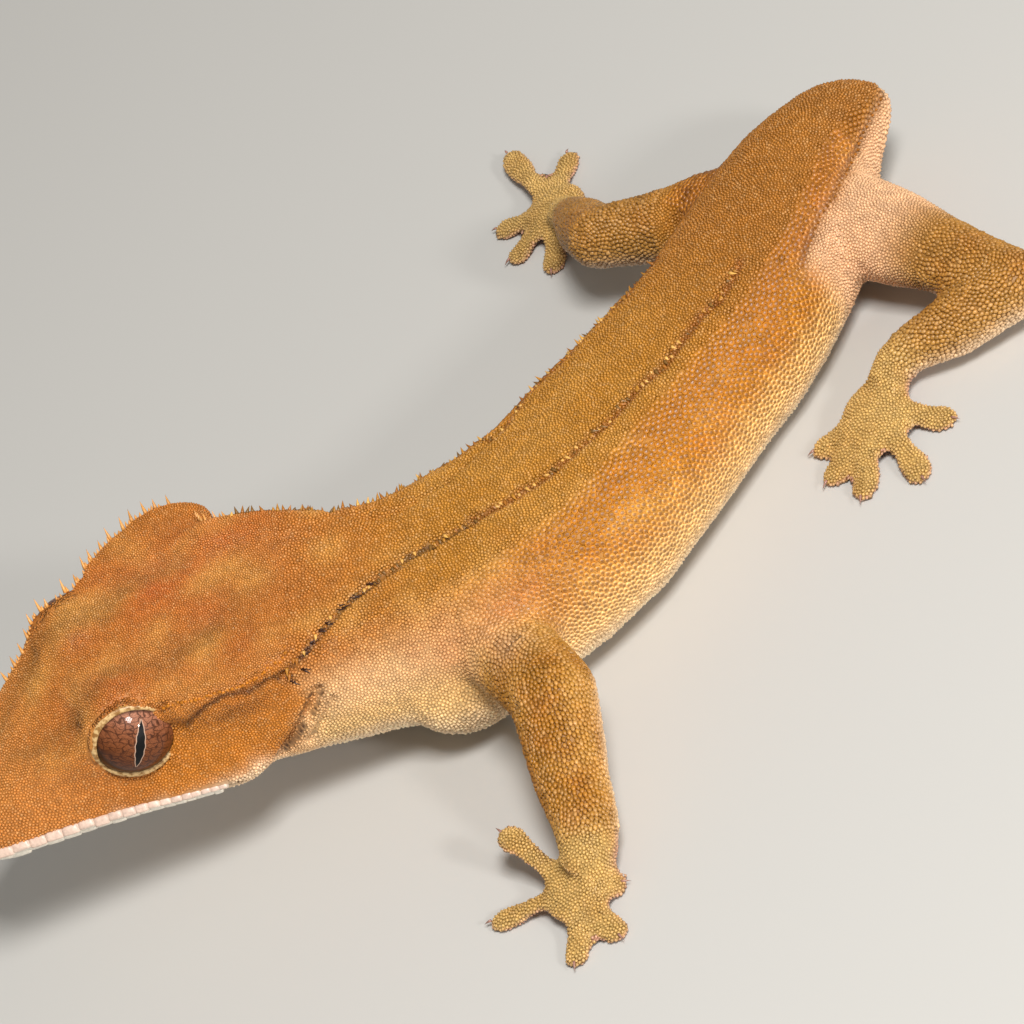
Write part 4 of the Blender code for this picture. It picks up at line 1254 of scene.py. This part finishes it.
# %% Bend a ring onto each eye's opening
rim_material, tree, shader = material("thin pale lid skin")
place = add(tree, "TexCoord").outputs["Object"]
speck = add(tree, "TexNoise", Vector=place, Scale=1 / (0.35 * MM), Detail=2.0).outputs["Fac"]
ramp = add(tree, "ValToRGB", Fac=speck)
ramp.color_ramp.elements[0].position, ramp.color_ramp.elements[0].color = 0.38, (*linear("#8f632e"), 1)
ramp.color_ramp.elements[1].position, ramp.color_ramp.elements[1].color = 0.58, (*linear("#d2ae76"), 1)
tree.links.new(ramp.outputs["Color"], shader.inputs["Base Color"])
shader.inputs["Roughness"].default_value = 0.45
LID_THICK = 0.24


def lid_place(name, angle, tilt, over):
    """A place by bearing and tilt round an eye's line of sight, and mm over the ball."""
    side, up, gaze = LOOKS[name]
    way = np.cos(tilt)[:, None] * gaze
    way = way + np.sin(tilt)[:, None] * (np.cos(angle)[:, None] * side + np.sin(angle)[:, None] * up)
    return eye_middles[name] + ((EYE_RADIUS + over) * MM)[:, None] * way


TUBE = 0.25
for name in EYES:
    bpy.ops.object.select_all(action="DESELECT")
    bpy.ops.mesh.primitive_torus_add(
        major_segments=96, minor_segments=12, major_radius=1.0, minor_radius=TUBE)
    rim_piece = bpy.context.view_layer.objects.active
    rim_piece.name = name.replace("eye", "lid_rim")
    ring, _ = read_mesh(rim_piece)
    angle = np.arctan2(ring[:, 1], ring[:, 0])
    outwards, lift = (np.hypot(ring[:, 0], ring[:, 1]) - 1.0) / TUBE, ring[:, 2] / TUBE
    wide = lid_width(angle)
    tilt = opening_tilt(angle) + wide * (1.0 + outwards) / EYE_RADIUS
    ring = lid_place(name, angle, tilt, LID_THICK * (lift + 0.25 + 0.5 * (1 + outwards) / 2))
    rim_piece.data.vertices.foreach_set("co", ring.ravel())
    if name == "right_eye":
        rim_piece.data.flip_normals()
    dressed(rim_piece, rim_material)
    print(rim_piece.name, len(ring), "vertices")

# %% [markdown]
# ## Spines, lip plates and claws
# Small soft spines stand along the crest from the brow to the corner of the head, and smaller teeth
# along the fold of the neck and side and round the hips. One spine is modelled as a cone, cut
# across at three heights so that it can bend, and copied with sizes and leans that vary into one
# joined mesh. A particle system would plant them too, but not on a drawn line.

# %% A spine to copy


def horn(bend, sides=6, levels=(0.3, 0.6, 0.85)):
    """Places and triangles of a spine that stands one unit along +Z and leans to +X."""
    bpy.ops.object.select_all(action="DESELECT")
    bpy.ops.mesh.primitive_cone_add(vertices=sides, radius1=1.0, radius2=0.0, depth=1.0, location=(0, 0, 0.5))
    cone = bpy.context.view_layer.objects.active
    bpy.ops.object.transform_apply(location=True)
    bpy.ops.object.mode_set(mode="EDIT")
    for level in levels:
        bpy.ops.mesh.select_all(action="SELECT")
        bpy.ops.mesh.bisect(plane_co=(0, 0, level), plane_no=(0, 0, 1))
    bpy.ops.object.mode_set(mode="OBJECT")
    modified(cone, "TRIANGULATE")
    points, _ = read_mesh(cone)
    belly = 1.0 + 0.5 * points[:, 2] * (1 - points[:, 2])
    points[:, 0] = points[:, 0] * belly + bend * points[:, 2] ** 2
    points[:, 1] *= belly
    triangles = triangles_of(cone)
    bpy.data.objects.remove(cone)
    return points, triangles


class Row:
    """Spines gathered before they are copied out as one joined mesh."""

    def __init__(self):
        self.feet, self.stems, self.lengths, self.widths, self.tints = [], [], [], [], []

    def plant(self, foot, stem, length, width, tint):
        """Adds one spine: its foot, its direction, its length and half width in mm, and its tint."""
        self.feet.append(foot)
        self.stems.append(stem)
        self.lengths.append(length * MM)
        self.widths.append(width * MM)
        self.tints.append(tint)

    def grow(self, name, pattern, lean, matter, tip_shade):
        """Copies the pattern onto every foot, all bending the same way, and joins the copies."""
        points, triangles = pattern
        z = unit(self.stems)
        x = unit(np.array(lean) - (z @ np.array(lean))[:, None] * z)
        y = np.cross(z, x)
        wide, tall = np.array(self.widths)[:, None, None], np.array(self.lengths)[:, None, None]
        every = np.array(self.feet)[:, None] + wide * points[None, :, 0, None] * x[:, None]
        every = every + wide * points[None, :, 1, None] * y[:, None]
        every = every + tall * points[None, :, 2, None] * z[:, None]
        every[:, :, 2] = np.maximum(every[:, :, 2], 0.0)
        joined = (triangles[None] + (np.arange(len(z)) * len(points))[:, None, None]).reshape(-1, 3)
        thing = quick_mesh(name, every.reshape(-1, 3), joined)
        fade = 1.0 + (tip_shade - 1.0) * points[None, :, 2, None]
        paint(thing, np.clip(np.array(self.tints)[:, None] * fade, 0, 1).reshape(-1, 3))
        print(name, len(z), "copies of", len(triangles), "faces")
        return dressed(thing, matter)


spine = horn(0.4)
print("a spine has", len(spine[1]), "faces")

# %% Plant the crest's spines
# The crest's line: distance along the head, out and up, in mm.
crest_rows = np.array([
    (12.5, 4.9, 4.2), (16.0, 6.2, 5.4), (19.0, 7.4, 5.6), (22.0, 8.8, 5.2), (25.0, 10.1, 5.3),
    (28.6, 11.3, 5.0), (31.4, 10.4, 4.6), (33.2, 8.9, 4.0),
])
crest = Row()
SMALL_STEP, LARGE_EVERY, CREST_TURNS, BEHIND_CORNER = 0.34, 3, 29.6, 31.0
for sign, first, last, tall in ((1, 21.5, 33.2, 0.45), (-1, 12.8, CREST_TURNS, 1.2)):
    for number, s in enumerate(np.arange(first, last, SMALL_STEP)):
        out, rise = (np.interp(s, crest_rows[:, 0], crest_rows[:, k]) for k in (1, 2))
        foot, across, above = at_head(s + rng.uniform(-0.12, 0.12), sign * out, rise + rng.uniform(0.0, 0.4))
        large = number % LARGE_EVERY == 0
        length = tall * (rng.uniform(0.75, 1.15) if large else rng.uniform(0.25, 0.5))
        stem = sign * across + above * rng.uniform(0.4, 0.9) + rng.normal(0, 0.1, 3)
        tint = TINT["spine" if sign < 0 else "cheek"] * rng.uniform(0.85, 1.15)
        crest.plant(nearest_on_skin(foot), stem, length, 0.19 if large else 0.15, tint)
# Behind its corner the far crest turns to the neck along the animal's outline.
_, across, above = at_head(BEHIND_CORNER, 0.0, 0.0)
for foot in far_outline(CREST_TURNS, NAPE_AT, 0.8)[::3]:
    stem = -across + above * rng.uniform(0.5, 1.0) + rng.normal(0, 0.12, 3)
    crest.plant(foot, stem, rng.uniform(0.4, 1.1), 0.16, TINT["spine"] * rng.uniform(0.85, 1.15))
_, body_s, _, body_left, body_up = AXES["body"]
TOOTH_KEPT = 0.8
for name, low, high, step in (("nape fold", 0.35, 0.8, 0.42), ("side fold", 0.35, 0.8, 0.4)):
    for sign, line in zip((1, -1), LINES[name]):
        walk = dense(line, step * MM)
        at = np.searchsorted(body_s, Site(walk).s - BODY_STARTS_AT).clip(0, len(body_s) - 1)
        for foot, near in zip(walk, at):
            lift = -0.45 if sign > 0 else 0.4
            stem = sign * body_left[near] + body_up[near] * lift + rng.normal(0, 0.3, 3)
            back_from_fold = (body_up[near] - 0.6 * sign * body_left[near]) * rng.uniform(0.1, 0.5) * MM
            tint = TINT[rng.choice(["dusk", "hips", "pale", "back"])] * rng.uniform(0.8, 1.1)
            if rng.random() < TOOTH_KEPT:
                crest.plant(nearest_on_skin(foot + back_from_fold), stem, rng.uniform(low, high), 0.18, tint)
# The pixels at which small dark tufts stand where the nape's fold begins.
TUFTS = [
    (291, 681), (300, 668), (303, 654), (308, 643), (318, 631), (326, 622), (338, 608), (352, 596),
    (366, 585),
]
for foot in cast(TUFTS):
    for _ in range(3):
        stem = picture_right * rng.uniform(0.8, 1.2) + picture_up * rng.uniform(-0.4, 0.5) + toward * 0.3
        start = foot + (picture_right * rng.uniform(-0.2, 0.3) + picture_up * rng.uniform(-0.2, 0.2)) * MM
        crest.plant(nearest_on_skin(start), stem, rng.uniform(0.6, 1.0), 0.10, TINT["dark"])
AT_HIPS = -12
hip_stem = body_left[AT_HIPS] + 0.3 * body_up[AT_HIPS]
for foot in dense(LINES["hip edge"][0], 0.6 * MM):
    stem, length = hip_stem + rng.normal(0, 0.15, 3), rng.uniform(0.25, 0.45)
    crest.plant(foot, stem, length, 0.17, TINT["hips"] * rng.uniform(0.6, 1.1))
crest.grow("crest_spines", spine, (0.0, 1.0, 0.3), scale_material, 1.15)

# %% [markdown]
# ## Lashes
# The species is also called the eyelash gecko, for the row of tiny spines that fringes each eye.
# They are the same spine again, shorter and finer, longest over the eye's upper front.

# %% Lashes round the eyes
LASHES = 70
lashes = Row()
for name in EYES:
    side, up, gaze = LOOKS[name]
    angle = np.linspace(-np.pi, np.pi, LASHES, endpoint=False)
    tilt = opening_tilt(angle) + 2.0 * lid_width(angle) / EYE_RADIUS
    for foot, turn_round in zip(lid_place(name, angle, tilt, np.full(LASHES, 0.12)), angle):
        out = math.cos(turn_round) * side + math.sin(turn_round) * up
        above = max(math.sin(turn_round + 0.4), 0.0)
        tint = TINT["dusk"] * 0.7 if rng.random() < 0.2 else TINT["pale"] * 1.1
        lashes.plant(foot, out * 0.8 + gaze * 0.7, 0.22 + 0.28 * above * rng.uniform(0.6, 1.4), 0.13, tint)
lashes.grow("lashes", spine, (0.0, 1.0, 0.3), scale_material, 0.8)

# %% [markdown]
# ## Lip plates
# Along both lips runs a row of large smooth plates, cream with a pinkish cast along the top. They
# are the only scales large enough to be seen one by one, so they are modelled as plates: one cube
# with its edges rounded, copied along each lip, shrinking backwards and turned to lie on the skin.

# %% Model a plate and set the rows


def plate_pattern():
    """A rounded plate, one unit long along +X, one high along +Y and standing out along +Z."""
    bpy.ops.object.select_all(action="DESELECT")
    bpy.ops.mesh.primitive_cube_add(size=1.0)
    plate = bpy.context.view_layer.objects.active
    modified(plate, "BEVEL", width=0.12, segments=1, limit_method="NONE")
    modified(plate, "SUBSURF", levels=1, render_levels=1)
    modified(plate, "TRIANGULATE")
    points = np.array([v.co[:] for v in plate.data.vertices])
    faces = np.array([list(p.vertices) for p in plate.data.polygons])
    bpy.data.objects.remove(plate)
    return points, faces


plate = plate_pattern()
lip_material = keratin("smooth lip plates", 0.3, 0.3, 0.42, 0.03)


def lip_row(name, first, last, count, over, tall, thick, split):
    """A row of plates on both lips, shrinking backwards, pinkish grey over the split and cream below."""
    points, triangles = plate
    vertices, tints, joined = [], [], []
    fractions = np.linspace(0, 1, count + 1)
    stops = first + (last - first) * (1.35 * fractions - 0.35 * fractions**2)
    for sign in (1, -1):
        for low, high in zip(stops, stops[1:]):
            middle = (low + high) / 2
            size = 1.0 - 0.45 * ((middle - first) / (last - first)) ** 2
            ends = []
            for s in (low, middle, high):
                out, rise = (np.interp(s, lip_rows[:, 0], lip_rows[:, k]) for k in (1, 2))
                ends.append(at_head(s, sign * out, rise + over * size)[0])
            foot, outward = (np.array(v) for v in surface.find_nearest(Vector(ends[1]))[:2])
            x = unit(ends[2] - ends[0])
            z = unit(outward - (outward @ x) * x)
            y = np.cross(z, x) * sign
            length = np.linalg.norm(ends[2] - ends[0]) * 1.16
            shape = points * (length, tall * size * MM, thick * size * MM)
            order = triangles if sign > 0 else triangles[:, ::-1]
            joined.append(order + sum(len(v) for v in vertices))
            vertices.append(foot + shape[:, :1] * x + shape[:, 1:2] * y + shape[:, 2:] * z)
            top = eased((points[:, 1] - split) / 0.25)[:, None]
            tints.append((TINT["lip"] * (1 - top) + TINT["lip top"] * top) * rng.uniform(0.92, 1.08))
    thing = quick_mesh(name, np.concatenate(vertices), np.concatenate(joined))
    paint(thing, np.clip(np.concatenate(tints), 0, 1))
    print(name, 2 * count, "plates")
    return dressed(thing, lip_material)


lip_row("upper_lip_plates", 0.9, 22.8, 19, 0.45, 1.5, 0.95, 0.16)
lip_row("lower_lip_plates", 1.4, 22.0, 17, -0.7, 1.0, 0.8, 0.6)

# %% [markdown]
# ## Claws
# Each toe ends in a tiny hooked claw above its pad. It is the spine's cone again, bent further,
# pointing forward and down, and in clear brown horn.

# %% Claws
claws = Row()
for name, tips in TOE_TIPS.items():
    palm = np.array(LIMBS[name][-1])
    for tip in tips:
        tip = np.array(tip)
        way = unit(tip - palm)
        foot = placed(tip - way * 0.45 + (0, 0, 0.35))
        claws.plant(foot, way + (0, 0, 0.05), 0.8, 0.13, TINT["pad"] * 0.7)
claw_material = keratin("translucent horn claws", 0.2, 0.22, 0.35, 0.01)
claws.grow("claws", horn(1.6), (0.0, 0.0, -1.0), claw_material, 0.5)

# %% [markdown]
# ## Floor and light
# A plain pale floor, a soft key light a little above the camera's line of sight, a large weak one
# from the lower right, a small one for the glint in the eye, and an even sky, as in a studio.

# %% Floor, lights and sky
bpy.ops.object.select_all(action="DESELECT")
bpy.ops.mesh.primitive_plane_add(size=3.0, location=(0, 0, 0))
floor = bpy.context.view_layer.objects.active
floor.name = "floor"
floor_material, tree, shader = material("matt pale card")
shader.inputs["Base Color"].default_value = (*linear("#c9c6c0"), 1)
shader.inputs["Roughness"].default_value = 0.85
floor.data.materials.append(floor_material)


def lamp(name, offset, size, power):
    """A square light that looks at the animal; offset is right, up and toward the camera."""
    light = bpy.data.lights.new(name, "AREA")
    light.size, light.energy = size, power
    thing = bpy.data.objects.new(name, light)
    bpy.context.scene.collection.objects.link(thing)
    place = picture_right * offset[0] + picture_up * offset[1] + toward * offset[2]
    thing.location = Vector(place)
    thing.rotation_euler = (-Vector(place)).to_track_quat("-Z", "Y").to_euler()
    return thing


lamp("key light", (-0.03, 0.24, 0.66), 0.16, 4.95)
lamp("fill light", (0.45, -0.25, 0.5), 0.6, 1.9)
lamp("glint light", (0.26, 0.06, 0.62), 0.06, 1.5)
world = bpy.data.worlds.new("studio")
bpy.context.scene.world = world
world.use_nodes = True
world.node_tree.nodes["Background"].inputs["Color"].default_value = (*linear("#f1efea"), 1)
world.node_tree.nodes["Background"].inputs["Strength"].default_value = 0.26
bpy.context.scene.view_settings.view_transform = "Standard"
